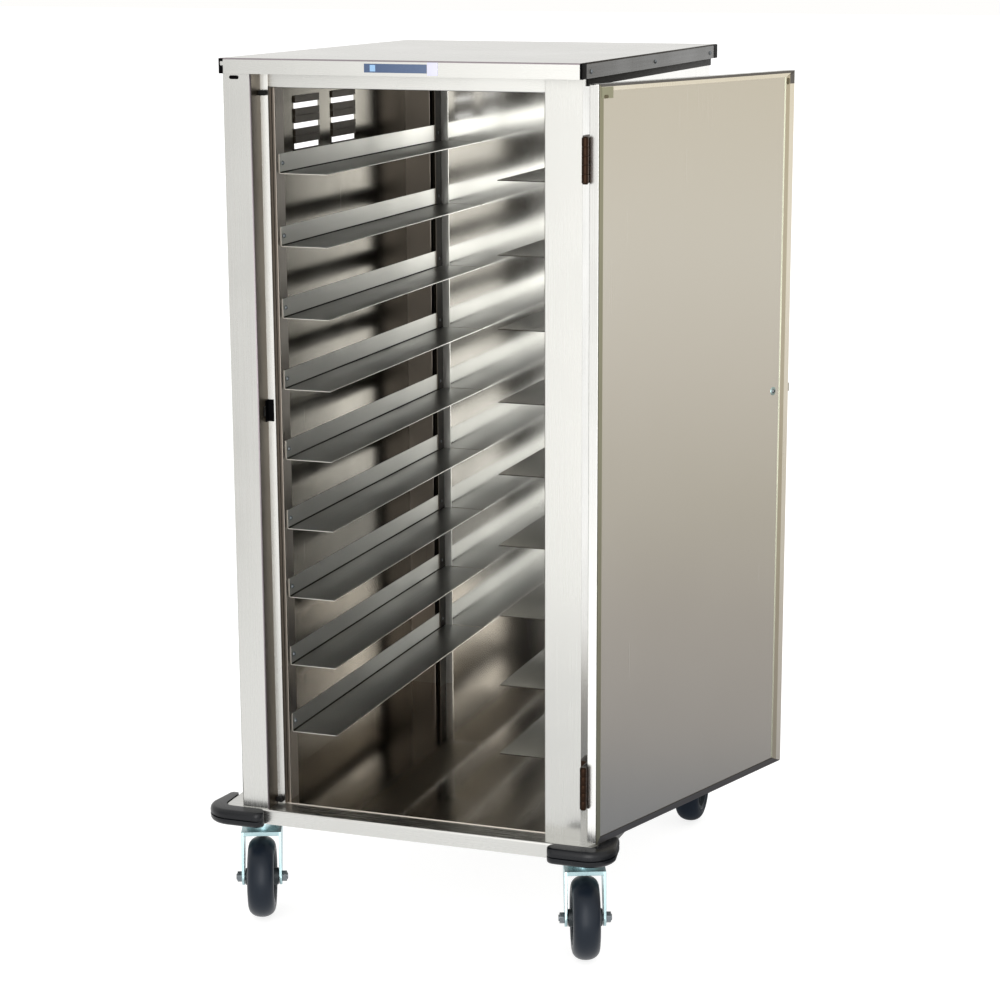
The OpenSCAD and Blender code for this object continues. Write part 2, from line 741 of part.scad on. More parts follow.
module door_stiffeners() color("darkgray") on_door() for (k = stiffener_at) {
    z = door_z0 + k * (door_z1 - door_z0);
    y0 = door_set + door_sheet;
    y1 = door_y1 - 2 * door_sheet;
    difference() {
        block([door_x0 + stiffener_inset, y0, z - stiffener_w / 2],
            [door_x1 - stiffener_inset, y1, z + stiffener_w / 2]);
        block([door_x0, y0 + door_sheet, z - stiffener_w / 2 + door_sheet],
            [door_x1, y1 + cut, z + stiffener_w / 2 - door_sheet]);
    }
}

module door_screws() color("dimgray") on_door() {
    for (z = hinge_z) translate([0, 0, z]) leaf_screw_places()
        door_leaf_screw() screw_x(leaf_t + door_sheet + screw_tail);
    // screw and washer that hold the cup from inside
    cup_screw_l = door_t - door_sheet - cup_d;
    translate([latch_x, door_y1 - door_sheet, latch_z]) rotate([-90, 0, 0]) {
        rod(washer_d, washer_t);
        translate([0, 0, washer_t]) rod(screw_head_d, screw_head_h);
        translate([0, 0, -cup_screw_l]) rod(cup_screw_d, cup_screw_l);
    }
}

// --- Latch ---

module latch_cup() color("silver") on_door() difference() {
    union() {
        block([latch_x - cup_w / 2 - cup_flange, door_set - cup_t, latch_z - cup_h / 2 - cup_flange],
            [latch_x + cup_w / 2 + cup_flange, door_set, latch_z + cup_h / 2 + cup_flange]);
        block([latch_x - cup_w / 2 + cup_fit, door_set - cup_t, latch_z - cup_h / 2 + cup_fit],
            [latch_x + cup_w / 2 - cup_fit, door_set + cup_d, latch_z + cup_h / 2 - cup_fit]);
    }
    block([latch_x - cup_w / 2 + cup_t, door_set - cup_t - cut, latch_z - cup_h / 2 + cup_t],
        [latch_x + cup_w / 2 - cup_t, door_set + cup_d - cup_t, latch_z + cup_h / 2 - cup_t]);
    translate([paddle_x, paddle_y, latch_z - cup_h / 2]) rod(paddle_pin_d + 2 * fit_clear, cup_h);
}

// Flap that is pulled out by its edge away from the pivot
module latch_paddle() color("dimgray") on_door() {
    h = cup_h / 2 - cup_t - paddle_gap;
    end = latch_x + cup_w / 2 - cup_t - 3 * paddle_gap;
    translate([paddle_x, paddle_y, latch_z - cup_h / 2 + 2 * cup_fit]) rod(paddle_pin_d, cup_h - 4 * cup_fit);
    block([paddle_x, door_set, latch_z - h], [end, door_set + paddle_t, latch_z + h]);
}

module latch_bolt() color("silver") on_door()
    block([door_x0 - bolt_throw, bolt_y, latch_z - bolt_h / 2],
        [door_x0 - bolt_throw + bolt_l, bolt_y + bolt_t, latch_z + bolt_h / 2]);

module latch_strike() color("black") in_frame() difference() {
    block([post_right, post_set + strike_inset, latch_z - strike_h / 2],
        [post_right + strike_t, recess_d, latch_z + strike_h / 2]);
    bolt_mouth();
}

// Rubber pads in the corners of the jamb, which the closed door rests on
module stop_pads() color("black") in_frame() for (z = stop_zs) {
    block([post_right, recess_d - stop_t, z - stop_h / 2], [cab_left + stile_w, recess_d, z + stop_h / 2]);
}

module name_plate() color("midnightblue") in_frame() {
    z = (lid_bottom + lid_top) / 2;
    block([-label_left, -label_t, z - label_h / 2], [-label_left + label_w, 0, z + label_h / 2]);
    badge_x = -label_left + label_w + badge_gap;
    block([badge_x, -label_t, z - badge_h / 2], [badge_x + badge_w, 0, z + badge_h / 2]);
}

// --- Casters ---

module plate_bolt_places() {
    for (sx = [-1, 1], sy = [-1, 1]) translate([sx * plate_bolt_x / 2, sy * plate_bolt_y / 2, 0]) children();
}

module each_stem() for (side = [-1, 1], end = [0, 1]) at_stem(side, end) children();

module caster_plates() color("lightsteelblue") each_stem() difference() {
    head_top = crown_z - race_gap;
    union() {
        block([-plate_w / 2, -plate_l / 2, base_z - plate_t], [plate_w / 2, plate_l / 2, base_z]);
        translate([0, 0, race_z]) rod(race_d - 2 * race_step, base_z - plate_t - race_z + eps);
        translate([0, 0, head_top - eps]) rod(king_d, base_z - plate_t - head_top + 2 * eps);
        translate([0, 0, head_top - king_head_h]) rod(king_head_d, king_head_h);
    }
    plate_bolt_places() translate([0, 0, base_z - plate_t - cut])
        rod(plate_bolt_d + 2 * fit_clear, plate_t + 2 * cut);
}

module caster_bolts() color("silver") each_stem() plate_bolt_places() {
    head = plate_bolt_d * head_share;
    nut = plate_bolt_d * nut_share;
    translate([0, 0, base_z - plate_t - head]) cylinder(r = plate_bolt_d * hex_share, h = head, $fn = 6);
    translate([0, 0, base_z - plate_t - eps]) rod(plate_bolt_d, plate_t + channel_t + nut + screw_tail);
    translate([0, 0, base_z + channel_t]) cylinder(r = plate_bolt_d * hex_share, h = nut, $fn = 6);
}

module fork_leg(x) translate([x, 0, 0]) rotate([90, 0, 90]) linear_extrude(fork_t) union() {
    polygon([[crown_front, crown_z + crown_t], [-crown_back, crown_z + crown_t],
        [-caster_trail - fork_eye_r, wheel_r], [-caster_trail + fork_eye_r, wheel_r]]);
    translate([-caster_trail, wheel_r]) circle(fork_eye_r);
}

module fork(side, end) color("lightsteelblue") at_fork(side, end) {
    x = fork_clear / 2;
    difference() {
        union() {
            fork_leg(x);
            fork_leg(-x - fork_t);
            block([-x - fork_t, -crown_back, crown_z], [x + fork_t, crown_front, crown_z + crown_t]);
            translate([0, 0, crown_z]) rod(race_d, race_z - race_gap - crown_z);
        }
        translate([0, 0, crown_z - cut]) rod(king_d + 2 * fit_clear, race_z - crown_z + 2 * cut);
        axle_line(axle_l + 2 * cut) rod(axle_d + 2 * fit_clear, axle_l + 2 * cut);
    }
}

// A rod's frame along the axle, centred on the wheel, for a rod of length l
module axle_line(l) translate([-l / 2, -caster_trail, wheel_r]) rotate([0, 90, 0]) children();

module axle(side, end) color("slategray") at_fork(side, end) {
    l = axle_l + 2 * nut_h + 2 * screw_tail;
    axle_line(l) rod(axle_d, l);
    for (x = [-axle_l / 2 - nut_h, axle_l / 2]) translate([x, -caster_trail, wheel_r]) rotate([0, 90, 0])
        cylinder(r = hex_r, h = nut_h, $fn = 6);
}

module hub(side, end) color("darkgray") at_fork(side, end) axle_line(0) rotate_extrude() {
    bore = axle_d / 2 + fit_clear;
    translate([bore, -hub_l / 2]) square([hub_d / 2 - bore, hub_l]);
    translate([hub_d / 2 - eps, -hub_web / 2]) square([core_r - hub_d / 2, hub_web]);
    translate([core_r - core_rim, -tyre_w / 2 + rim_step]) square([core_rim, tyre_w - 2 * rim_step]);
}

// Solid rubber tyre with a round crown
module tyre(side, end) color("#2b3238") at_fork(side, end) axle_line(0) rotate_extrude() {
    r = tyre_w / 2;
    intersection() {
        union() {
            translate([wheel_r - r, 0]) circle(r);
            translate([core_r, -r]) square([max(wheel_r - r - core_r, 1), 2 * r]);
        }
        translate([core_r, -r]) square([wheel_r - core_r, 2 * r]);
    }
}

base_pan();
caster_channels();
floor_panel();
left_side_panel();
right_side_panel();
back_panel();
lid();
latch_post();
jamb_strip();
header();
hinge_stile();
front_uprights();
rear_uprights();
ledge_pair(1);  // ledge_pair_1
ledge_pair(2);  // ledge_pair_2
ledge_pair(3);  // ledge_pair_3
ledge_pair(4);  // ledge_pair_4
ledge_pair(5);  // ledge_pair_5
ledge_pair(6);  // ledge_pair_6
ledge_pair(7);  // ledge_pair_7
ledge_pair(8);  // ledge_pair_8
ledge_pair(9);  // ledge_pair_9
bumper(-1, 0);  // bumper_front_left
bumper(1, 0);  // bumper_front_right
bumper(-1, 1);  // bumper_rear_left
bumper(1, 1);  // bumper_rear_right
latch_strike();
stop_pads();
cabinet_hinge_leaves();
hinge_pins();
cabinet_screws();
ledge_screws();
name_plate();
caster_plates();
caster_bolts();
door_pan();
door_inner_panel();
door_stiffeners();
door_hinge_leaves();
door_screws();
latch_cup();
latch_paddle();
latch_bolt();
fork(-1, 0);  // fork_front_left
axle(-1, 0);  // axle_front_left
hub(-1, 0);  // hub_front_left
tyre(-1, 0);  // tyre_front_left
fork(1, 0);  // fork_front_right
axle(1, 0);  // axle_front_right
hub(1, 0);  // hub_front_right
tyre(1, 0);  // tyre_front_right
fork(-1, 1);  // fork_rear_left
axle(-1, 1);  // axle_rear_left
hub(-1, 1);  // hub_rear_left
tyre(-1, 1);  // tyre_rear_left
fork(1, 1);  // fork_rear_right
axle(1, 1);  // axle_rear_right
hub(1, 1);  // hub_rear_right
tyre(1, 1);  // tyre_rear_right
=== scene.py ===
# Enclosed meal tray cart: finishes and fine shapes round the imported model, in metres.
import json
import math

import bmesh
import bpy
from mathutils import Matrix, Vector


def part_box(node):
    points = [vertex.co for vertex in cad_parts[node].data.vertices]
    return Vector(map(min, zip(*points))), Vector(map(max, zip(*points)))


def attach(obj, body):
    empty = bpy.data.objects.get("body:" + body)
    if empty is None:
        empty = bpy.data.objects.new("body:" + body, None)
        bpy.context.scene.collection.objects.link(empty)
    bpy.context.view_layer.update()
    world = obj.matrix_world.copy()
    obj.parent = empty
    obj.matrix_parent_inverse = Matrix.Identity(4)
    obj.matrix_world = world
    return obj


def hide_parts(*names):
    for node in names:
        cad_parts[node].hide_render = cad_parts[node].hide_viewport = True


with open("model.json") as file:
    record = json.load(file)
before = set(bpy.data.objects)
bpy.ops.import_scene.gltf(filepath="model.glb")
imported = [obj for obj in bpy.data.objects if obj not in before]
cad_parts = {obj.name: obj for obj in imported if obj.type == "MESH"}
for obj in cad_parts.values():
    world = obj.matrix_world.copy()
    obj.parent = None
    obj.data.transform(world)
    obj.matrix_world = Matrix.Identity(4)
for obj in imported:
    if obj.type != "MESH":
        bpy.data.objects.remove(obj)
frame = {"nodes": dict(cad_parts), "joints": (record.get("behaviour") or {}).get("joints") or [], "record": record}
nodes = frame["nodes"]
joints = {joint["name"]: joint for joint in frame["joints"]}
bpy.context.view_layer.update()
corners = ("front_left", "front_right", "rear_left", "rear_right")
print("frame loaded:", len(nodes), "nodes")


def linear(text):  # an sRGB hex value as the linear colour that the shaders take
    parts = [int(text[i:i + 2], 16) / 255 for i in (1, 3, 5)]
    parts = [p / 12.92 if p <= 0.04045 else ((p + 0.055) / 1.055) ** 2.4 for p in parts]
    return (*parts, 1.0)


def addNode(tree, kind, inputs=None, **settings):  # one node, its settings and what feeds it
    node = tree.nodes.new(kind)
    for name, value in settings.items():
        setattr(node, name, value)
    for name, value in (inputs or {}).items():
        if isinstance(value, bpy.types.NodeSocket):
            tree.links.new(value, node.inputs[name])
        elif isinstance(value, list):
            for socket in value:
                tree.links.new(socket, node.inputs[name])
        else:
            node.inputs[name].default_value = value
    return node


def newMaterial(name):
    material = bpy.data.materials.new(name)
    material.use_nodes = True
    material.node_tree.nodes.clear()
    return material, material.node_tree


def endMaterial(tree, shader):
    addNode(tree, "ShaderNodeOutputMaterial", {"Surface": shader.outputs[0]})


def newObject(name, data):
    piece = bpy.data.objects.new(name, data)
    bpy.context.scene.collection.objects.link(piece)
    return piece


def makeMesh(name, points, faces):
    mesh = bpy.data.meshes.new(name)
    mesh.from_pydata([tuple(p) for p in points], [], faces)
    mesh.update()
    return newObject(name, mesh)


# The camera stands at the place and angle that the photograph was taken from.
cameraSettings = {
    "place": (1.5465, -4.46026, 1.79408),
    "pitch": 12.72,
    "turn": 18.67,
    "sensor": 36.0,
    "lens": 89.907,
    "shift": (-0.04765, 0.00691),
    "sees": (0.1, 400.0),
}


def makeCamera(s):
    data = bpy.data.cameras.new("camera")
    data.sensor_width = s["sensor"]
    data.lens = s["lens"]
    data.shift_x, data.shift_y = s["shift"]
    data.clip_start, data.clip_end = s["sees"]
    camera = newObject("camera", data)
    camera.location = s["place"]
    camera.rotation_euler = (math.radians(90 - s["pitch"]), 0, math.radians(s["turn"]))
    bpy.context.scene.camera = camera


makeCamera(cameraSettings)
bpy.context.scene.view_settings.view_transform = "Standard"

# A white studio: glowing floor and surroundings, and a few reflector cards that only gloss sees.
studio = {
    "floorSize": 120.0,
    "floorGlow": 0.8,
    "floorColour": "#a8a8a8",
    "skyBack": 1.0,
    "skyFront": 1.4,
    "whiteTint": "#fffefc",
    # the wall of cards in front, from the cart's left to its right: x in metres, tone
    "frontY": -2.5,
    "frontHeight": 2.6,
    "frontTones": [(-5.0, 0.9), (-1.7, 0.9), (-1.36, 1.02), (-1.1, 1.32), (-0.8, 1.58), (-0.5, 1.7),
                   (-0.3, 1.68), (0.05, 1.9), (0.3, 4.8), (1.0, 5.2), (1.4, 2.1), (5.0, 1.2)],
    # the card beside the open door starts at a foot and runs the way that the door's inner side
    # reflects the eye, first along the floor and then up: distance, colour
    "doorCardFoot": (0.1, 0.3),
    "doorCardAway": (0.80, 0.60),
    "doorCardHalf": 0.9,
    "doorFloorEnd": 1.5,
    "doorCardLift": 0.004,
    "doorTones": [(0.02, "#7e7f80"), (0.55, "#848586"), (1.1, "#a39e98"), (1.7, "#b1aaa0"), (1.95, "#c0b9aa"),
                  (2.3, "#d4ccbe"), (2.6, "#dfd8c9"), (3.1, "#ddd3be"), (3.5, "#d4c9b0")],
}


def makeCard(name, rows, tones, colours):  # a bent card that only reflections see, with tones along it
    points = [p for row in rows for p in row]
    faces = [(2 * i, 2 * i + 1, 2 * i + 3, 2 * i + 2) for i in range(len(rows) - 1)]
    card = makeMesh(name, points, faces)
    tint = card.data.color_attributes.new("tone", "FLOAT_COLOR", "POINT")
    for i in range(len(rows)):
        colour = [tones[i] * c for c in colours[i][:3]]
        tint.data[2 * i].color = tint.data[2 * i + 1].color = (*colour, 1)
    material, tree = newMaterial(name)
    tone = addNode(tree, "ShaderNodeAttribute", attribute_name="tone")
    endMaterial(tree, addNode(tree, "ShaderNodeEmission", {"Color": tone.outputs["Color"]}))
    card.data.materials.append(material)
    card.visible_camera = False
    card.visible_diffuse = False
    card.visible_shadow = False
    card.visible_transmission = False


def makeStudio(s):
    half = s["floorSize"] / 2
    floor = makeMesh("studioFloor", [(-half, -half, 0), (half, -half, 0), (half, half, 0), (-half, half, 0)],
                     [(0, 1, 2, 3)])
    material, tree = newMaterial("studioPaper")
    glow = addNode(tree, "ShaderNodeEmission", {"Strength": s["floorGlow"]})
    paper = addNode(tree, "ShaderNodeBsdfDiffuse", {"Color": linear(s["floorColour"])})
    endMaterial(tree, addNode(tree, "ShaderNodeAddShader", {0: glow.outputs[0], 1: paper.outputs[0]}))
    floor.data.materials.append(material)

    world = bpy.data.worlds.new("studio")
    world.use_nodes = True
    tree = world.node_tree
    tree.nodes.clear()
    place = addNode(tree, "ShaderNodeTexCoord")
    axes = addNode(tree, "ShaderNodeSeparateXYZ", {0: place.outputs["Generated"]})
    tone = addNode(tree, "ShaderNodeMapRange", {"Value": axes.outputs["Y"], "From Min": -0.8, "From Max": 0.8,
                                                "To Min": s["skyFront"], "To Max": s["skyBack"]})
    light = addNode(tree, "ShaderNodeBackground", {"Color": linear(s["whiteTint"]),
                                                   "Strength": tone.outputs[0]})
    addNode(tree, "ShaderNodeOutputWorld", {"Surface": light.outputs[0]})
    bpy.context.scene.world = world

    front = [((x, s["frontY"], 0.0), (x, s["frontY"], s["frontHeight"])) for x, tone in s["frontTones"]]
    white = linear(s["whiteTint"])
    makeCard("cardsInFront", front, [tone for x, tone in s["frontTones"]], [white] * len(front))

    hinge = joints["door_hinge"]["pos_m"]
    away = Vector((*s["doorCardAway"], 0)).normalized()
    across = Vector((-away.y, away.x, 0)) * s["doorCardHalf"]
    foot = Vector((hinge[0] + s["doorCardFoot"][0], hinge[1] + s["doorCardFoot"][1], 0))
    rows = []
    for along, colour in s["doorTones"]:
        flat = min(along, s["doorFloorEnd"])
        place = foot + away * flat + Vector((0, 0, s["doorCardLift"] + along - flat))
        rows.append((place - across, place + across))
    colours = [linear(colour) for along, colour in s["doorTones"]]
    makeCard("cardBesideDoor", rows, [1.0] * len(rows), colours)


makeStudio(studio)
print("studio ready")


def steel(name, colour, rough, grain, waves=0.0003, grainAxis="z", spread=0.08, blotch=7.0, edgeX=None):
    # sheet steel: fine strokes along the rolling or brushing way, slow waves, faint smudges
    material, tree = newMaterial(name)
    place = addNode(tree, "ShaderNodeTexCoord").outputs["Object"]
    long, fine = 3.0, 900.0  # strokes are about 0.3 m long; really 0.1 mm apart, drawn 1.1 mm apart to show
    scale = {"x": (long, fine, fine), "y": (fine, long, fine), "z": (fine, fine, long)}[grainAxis]
    strokes = addNode(tree, "ShaderNodeMapping", {"Vector": place, "Scale": scale})
    brush = addNode(tree, "ShaderNodeTexNoise", {"Vector": strokes.outputs[0], "Scale": 1.0, "Detail": 2.0})
    smudge = addNode(tree, "ShaderNodeTexNoise", {"Vector": place, "Scale": blotch, "Detail": 3.0})
    mixed = addNode(tree, "ShaderNodeMath", {0: brush.outputs["Fac"], 1: smudge.outputs["Fac"]},
                    operation="ADD")
    roughness = addNode(tree, "ShaderNodeMapRange", {
        "Value": mixed.outputs[0], "From Min": 0.6, "From Max": 1.4, "To Min": rough - spread,
        "To Max": rough + spread})
    sag = addNode(tree, "ShaderNodeTexNoise", {"Vector": place, "Scale": 3.2, "Detail": 1.0})
    wavy = addNode(tree, "ShaderNodeBump", {"Height": sag.outputs["Fac"], "Distance": waves, "Strength": 1.0})
    bump = addNode(tree, "ShaderNodeBump", {
        "Height": brush.outputs["Fac"], "Distance": grain, "Strength": 1.0, "Normal": wavy.outputs[0]})
    surface = addNode(tree, "ShaderNodeBsdfPrincipled", {
        "Base Color": linear(colour), "Metallic": 1.0, "Roughness": roughness.outputs[0],
        "Normal": bump.outputs[0]})
    if edgeX:  # way, place, colour: the sheet's other side, past this place along X, is painted this darker colour, a painted reflection
        axes = addNode(tree, "ShaderNodeSeparateXYZ", {0: place})
        kind = "GREATER_THAN" if edgeX[0] > 0 else "LESS_THAN"
        side = addNode(tree, "ShaderNodeMath", {0: axes.outputs["X"], 1: edgeX[1]}, operation=kind)
        tint = addNode(tree, "ShaderNodeMix", {
            "Factor": side.outputs[0], 6: linear(colour), 7: linear(edgeX[2])}, data_type="RGBA")
        tree.links.new(tint.outputs[2], surface.inputs["Base Color"])
    endMaterial(tree, surface)
    return material


def moulded(name, colour, rough, grain, scale, gloss=0.5, spread=0.07):
    # moulded rubber, nylon or enamel: a fine grain from the mould that breaks up the gloss
    material, tree = newMaterial(name)
    place = addNode(tree, "ShaderNodeTexCoord").outputs["Object"]
    speck = addNode(tree, "ShaderNodeTexNoise", {"Vector": place, "Scale": scale, "Detail": 3.0})
    roughness = addNode(tree, "ShaderNodeMapRange", {
        "Value": speck.outputs["Fac"], "From Min": 0.3, "From Max": 0.7, "To Min": rough - spread,
        "To Max": rough + spread})
    bump = addNode(tree, "ShaderNodeBump", {"Height": speck.outputs["Fac"], "Distance": grain,
                                            "Strength": 1.0})
    surface = addNode(tree, "ShaderNodeBsdfPrincipled", {
        "Base Color": linear(colour), "Roughness": roughness.outputs[0], "Normal": bump.outputs[0],
        "Specular IOR Level": gloss})
    endMaterial(tree, surface)
    return material


insideShadeBrown = "#57534a"  # painted reflection: inside, the walls are painted brown, as they reflect the dark cabinet
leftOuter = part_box("left_side_panel")[0].x
rightLow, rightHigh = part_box("right_side_panel")
inSheet = 0.0008  # between a side panel's outer and inner face
finishes = {
    # No. 4 brushed stainless: even vertical grain, soft reflections
    "outerSteel": steel("brushedStainlessOuter", "#c5c5c2", 0.26, 0.000003),
    # the same, brushed across: lid, header and base
    "acrossSteel": steel("brushedStainlessAcross", "#c5c5c2", 0.26, 0.000003, grainAxis="x"),
    # side panels: their inner faces are painted brown, a painted reflection of the dark cabinet
    "leftSide": steel("brushedStainlessLeftSide", "#c5c5c2", 0.2, 0.000003,
                      edgeX=(1, leftOuter + inSheet, insideShadeBrown)),
    # the right side panel is painted brighter outside than the left, a painted highlight
    "rightSide": steel("brushedStainlessRightSide", "#e2e2df", 0.2, 0.000003,
                       edgeX=(-1, rightHigh.x - inSheet, insideShadeBrown)),
    # the hinge stile is painted a little darker; the door's hinge edge is painted brighter, a painted highlight
    "stileSteel": steel("brushedStainlessStile", "#bdbdba", 0.26, 0.000003),
    "hingeEdge": steel("brushedStainlessHingeEdge", "#f0f0ed", 0.26, 0.000003),
    # the lid's right rim and bends, dark because they mirror the open door's shade
    "rimSide": steel("shadedStainlessRim", "#363634", 0.26, 0.000003, grainAxis="y"),
    "rimEdge": steel("shadedStainlessBend", "#8a8286", 0.4, 0.000003),
    # satin ledges, rolled lengthways
    "ledgeSteel": steel("satinStainlessLedge", "#b3b1ab", 0.42, 0.000004, 0.0002, grainAxis="y"),
    # their webs are painted brighter, a painted highlight; the left shelves are painted darker, painted shade, and
    # the right ones brighter, a painted highlight
    "webSteel": steel("satinStainlessLedgeWeb", "#c6c6c2", 0.36, 0.000004, 0.0002, grainAxis="y"),
    "shelfSteel": steel("shadedStainlessLeftShelf", "#8e8f8d", 0.36, 0.000005, 0.0002, grainAxis="y"),
    "shelfBright": steel("satinStainlessRightShelf", "#e6e6e2", 0.2, 0.000004, 0.0002, grainAxis="y"),
    # bright-rolled back panel, near mirror
    "innerSteel": steel("brightStainlessInner", "#eaeae7", 0.11, 0.000001, grainAxis="y", spread=0.03),
    # mill-finish uprights, returns and vent flanges, painted dull and brownish: painted shade inside the cabinet
    "millShadeSteel": steel("millStainlessShadedUpright", "#77716a", 0.34, 0.000004),
    "shadedSteel": steel("millStainlessShaded", "#2b2722", 0.6, 0.000004),
    "ventShadeSteel": steel("shadedStainlessVentFlange", "#423c34", 0.5, 0.000004),
    "postInner": steel("shadedStainlessPost", "#5a5246", 0.42, 0.000004),
    # the door's inner panel: soft rolled sheet with slow waves; the floor panel: bright-rolled
    "linerSteel": steel("rolledStainlessLiner", "#e3e3e2", 0.24, 0.0000012, 0.0012, spread=0.04,
                        blotch=4.0),
    "floorSteel": steel("brightStainlessFloor", "#ddd5cc", 0.09, 0.000002, 0.0004, grainAxis="y",
                        spread=0.03),
    # door folds: rolled steel whose bends are painted grey-green, pale or dark, painted reflections and shade
    "borderSteel": steel("rolledStainlessDoorFold", "#cfcabc", 0.3, 0.000002),
    "borderPale": steel("rolledStainlessPaleFold", "#fbfaf5", 0.3, 0.000002),
    "borderDark": steel("rolledStainlessDarkFold", "#737377", 0.34, 0.000002),
    "borderOlive": steel("rolledStainlessHingeFold", "#a2a392", 0.34, 0.000002),
    # bright zinc, pale and faintly blue-green; dull zinc; oiled bronze of the hinges
    "zinc": steel("brightZincPlate", "#a9c2c6", 0.3, 0.00001, 0.0),
    "darkSteel": steel("dullZincPlate", "#6f7478", 0.36, 0.00001, 0.0),
    "bronze": steel("oiledBronzePlate", "#2a1e17", 0.36, 0.00001, 0.0),
    # solid rubber of the tyres: nearly black with a blue cast, satin from rolling
    "tyre": moulded("solidRubberTyre", "#121b26", 0.36, 0.00005, 900.0, 0.22),
    # black rubber and nylon as they leave the mould
    "bumper": moulded("mouldedRubberBumper", "#06090f", 0.3, 0.00004, 700.0, 0.3),
    "rubber": moulded("mouldedRubberPad", "#040404", 0.6, 0.00005, 900.0, 0.2),
    "nylon": moulded("mouldedNylonBlack", "#020203", 0.5, 0.00002, 1200.0, 0.03),
    "core": moulded("mouldedNylonCore", "#2c3337", 0.45, 0.00003, 1100.0, 0.3),
    # olive paint and plugs at the door's corners
    "darkOlive": moulded("darkOlivePlug", "#574f39", 0.5, 0.00002, 900.0, 0.3),
    "oliveTab": moulded("olivePaintedTab", "#85836a", 0.45, 0.00002, 900.0),
    # glossy enamel, plain
    "plate": moulded("enamelPlateBlue", "#46597a", 0.25, 0.00001, 600.0),
    "plateEnd": moulded("enamelPlateSky", "#8fb6dc", 0.25, 0.00001, 600.0),
    "badge": moulded("enamelPlateLilac", "#d3d3ea", 0.25, 0.00001, 600.0),
}
slotFinish = {
    "stainless": "outerSteel", "door_liner_steel": "linerSteel", "ledge_steel": "ledgeSteel",
    "floor_steel": "floorSteel", "zinc": "zinc", "bolt_steel": "darkSteel", "tyre": "tyre",
    "wheel_core": "core", "bumper_rubber": "bumper", "black_rubber": "rubber", "black_nylon": "nylon",
    "hinge_bronze": "bronze", "screw_steel": "darkSteel", "plate_enamel": "plate",
}
nodeFinish = {"caster_plates": "darkSteel", "left_side_panel": "leftSide", "right_side_panel": "rightSide",
              "back_panel": "innerSteel", "front_uprights": "millShadeSteel", "rear_uprights": "millShadeSteel",
              "hinge_stile": "stileSteel", "lid": "acrossSteel", "header": "acrossSteel",
              "base_pan": "acrossSteel"}
slotOf = {part["node"]: part["material_slot"] for part in frame["record"]["subparts"]}
for name, slot in slotOf.items():
    nodes[name].data.materials.clear()
    nodes[name].data.materials.append(finishes[nodeFinish.get(name, slotFinish[slot])])
print("finishes assigned")


def finishPiece(piece, body, slot, finish=None, replaced=()):
    # gives a piece its finish, from its slot unless one is named, and the body it moves with, and hides the nodes
    # it stands for
    if not piece.data.materials:
        piece.data.materials.append(finishes[finish or slotFinish[slot]])
    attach(piece, body)
    if replaced:
        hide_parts(*replaced)
    return piece


def fromBmesh(name, shape):
    mesh = bpy.data.meshes.new(name)
    shape.to_mesh(mesh)
    shape.free()
    return newObject(name, mesh)


def isWide(face, width):  # not the narrow edge of a sheet
    return 2 * face.calc_area() / face.calc_perimeter() > width


def foldedCopy(node, name, radius, wide=0.004, segments=3, choose=None):
    # the node's shape with its folds rounded: the outer edge between two wide faces gets a radius
    shape = bmesh.new()
    shape.from_mesh(nodes[node].data)
    bmesh.ops.remove_doubles(shape, verts=shape.verts, dist=0.00001)
    bmesh.ops.dissolve_limit(shape, angle_limit=math.radians(1), verts=shape.verts, edges=shape.edges)
    folds = []
    for edge in shape.edges:
        if len(edge.link_faces) == 2 and edge.calc_face_angle_signed(0) > math.radians(50):
            if all(isWide(face, wide) for face in edge.link_faces) or (choose and choose(edge)):
                folds.append(edge)
    rounded = bmesh.ops.bevel(shape, geom=folds, offset=radius, segments=segments, profile=0.5,
                              affect="EDGES", clamp_overlap=True)
    for face in rounded["faces"]:
        face.smooth = True
    return fromBmesh(name, shape)


def turnedTo(way):  # chooses the faces that are turned this way
    return lambda face: face.normal.dot(Vector(way)) > 0.9


def paintFaces(piece, finish, chosen):  # gives the chosen faces another finish
    piece.data.materials.append(finishes[finish])
    last = len(piece.data.materials) - 1
    for face in piece.data.polygons:
        if chosen(face):
            face.material_index = last


def bodyOf(node):
    return next(body for body, members in frame["record"]["behaviour"]["bodies"].items() if node in members)


def foldedNode(node, name, radius, **options):
    piece = foldedCopy(node, name, radius, **options)
    return finishPiece(piece, bodyOf(node), slotOf[node], nodeFinish.get(node), replaced=(node,))


# Cabinet sheets with their folds rounded as a press brake leaves them.
foldRadii = {"lid": 0.0026, "latch_post": 0.0024, "jamb_strip": 0.002, "header": 0.002, "hinge_stile": 0.0022,
             "caster_channels": 0.005, "latch_cup": 0.002, "door_pan": 0.0022, "base_pan": 0.0035}
baseLow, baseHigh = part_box("base_pan")
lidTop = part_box("lid")[1].z


def isRimTop(edge):  # where the base pan's deck turns down into its rim, round the corners too
    return all(abs(v.co.z - baseHigh.z) < 0.0001 for v in edge.verts)


def isLidBend(face):  # the rounded edge between the lid's top and its rim
    return 0.1 < face.normal.z < 0.98 and face.center.z > lidTop - foldRadii["lid"]


folded = {}
for node, radius in foldRadii.items():
    rim = isRimTop if node == "base_pan" else None
    folded[node] = foldedNode(node, "folded_" + node, radius, choose=rim)
# painted shade and reflection: the post's inner face, its right bend, the lid's right rim and bends and the
# strip's inner side are painted darker
paintFaces(folded["latch_post"], "postInner", turnedTo((1, 0, 0)))
paintFaces(folded["latch_post"], "rimEdge", lambda face: face.normal.x > 0.2 and face.normal.y < -0.2)
paintFaces(folded["lid"], "rimSide", lambda face: face.normal.x > 0.9 and face.center.x > rightHigh.x)
paintFaces(folded["lid"], "rimEdge", isLidBend)
paintFaces(folded["lid"], "shadedSteel", lambda face: isLidBend(face) and face.normal.x > 0.1)
paintFaces(folded["jamb_strip"], "millShadeSteel", turnedTo((1, 0, 0)))
print("folds rounded:", len(folded))


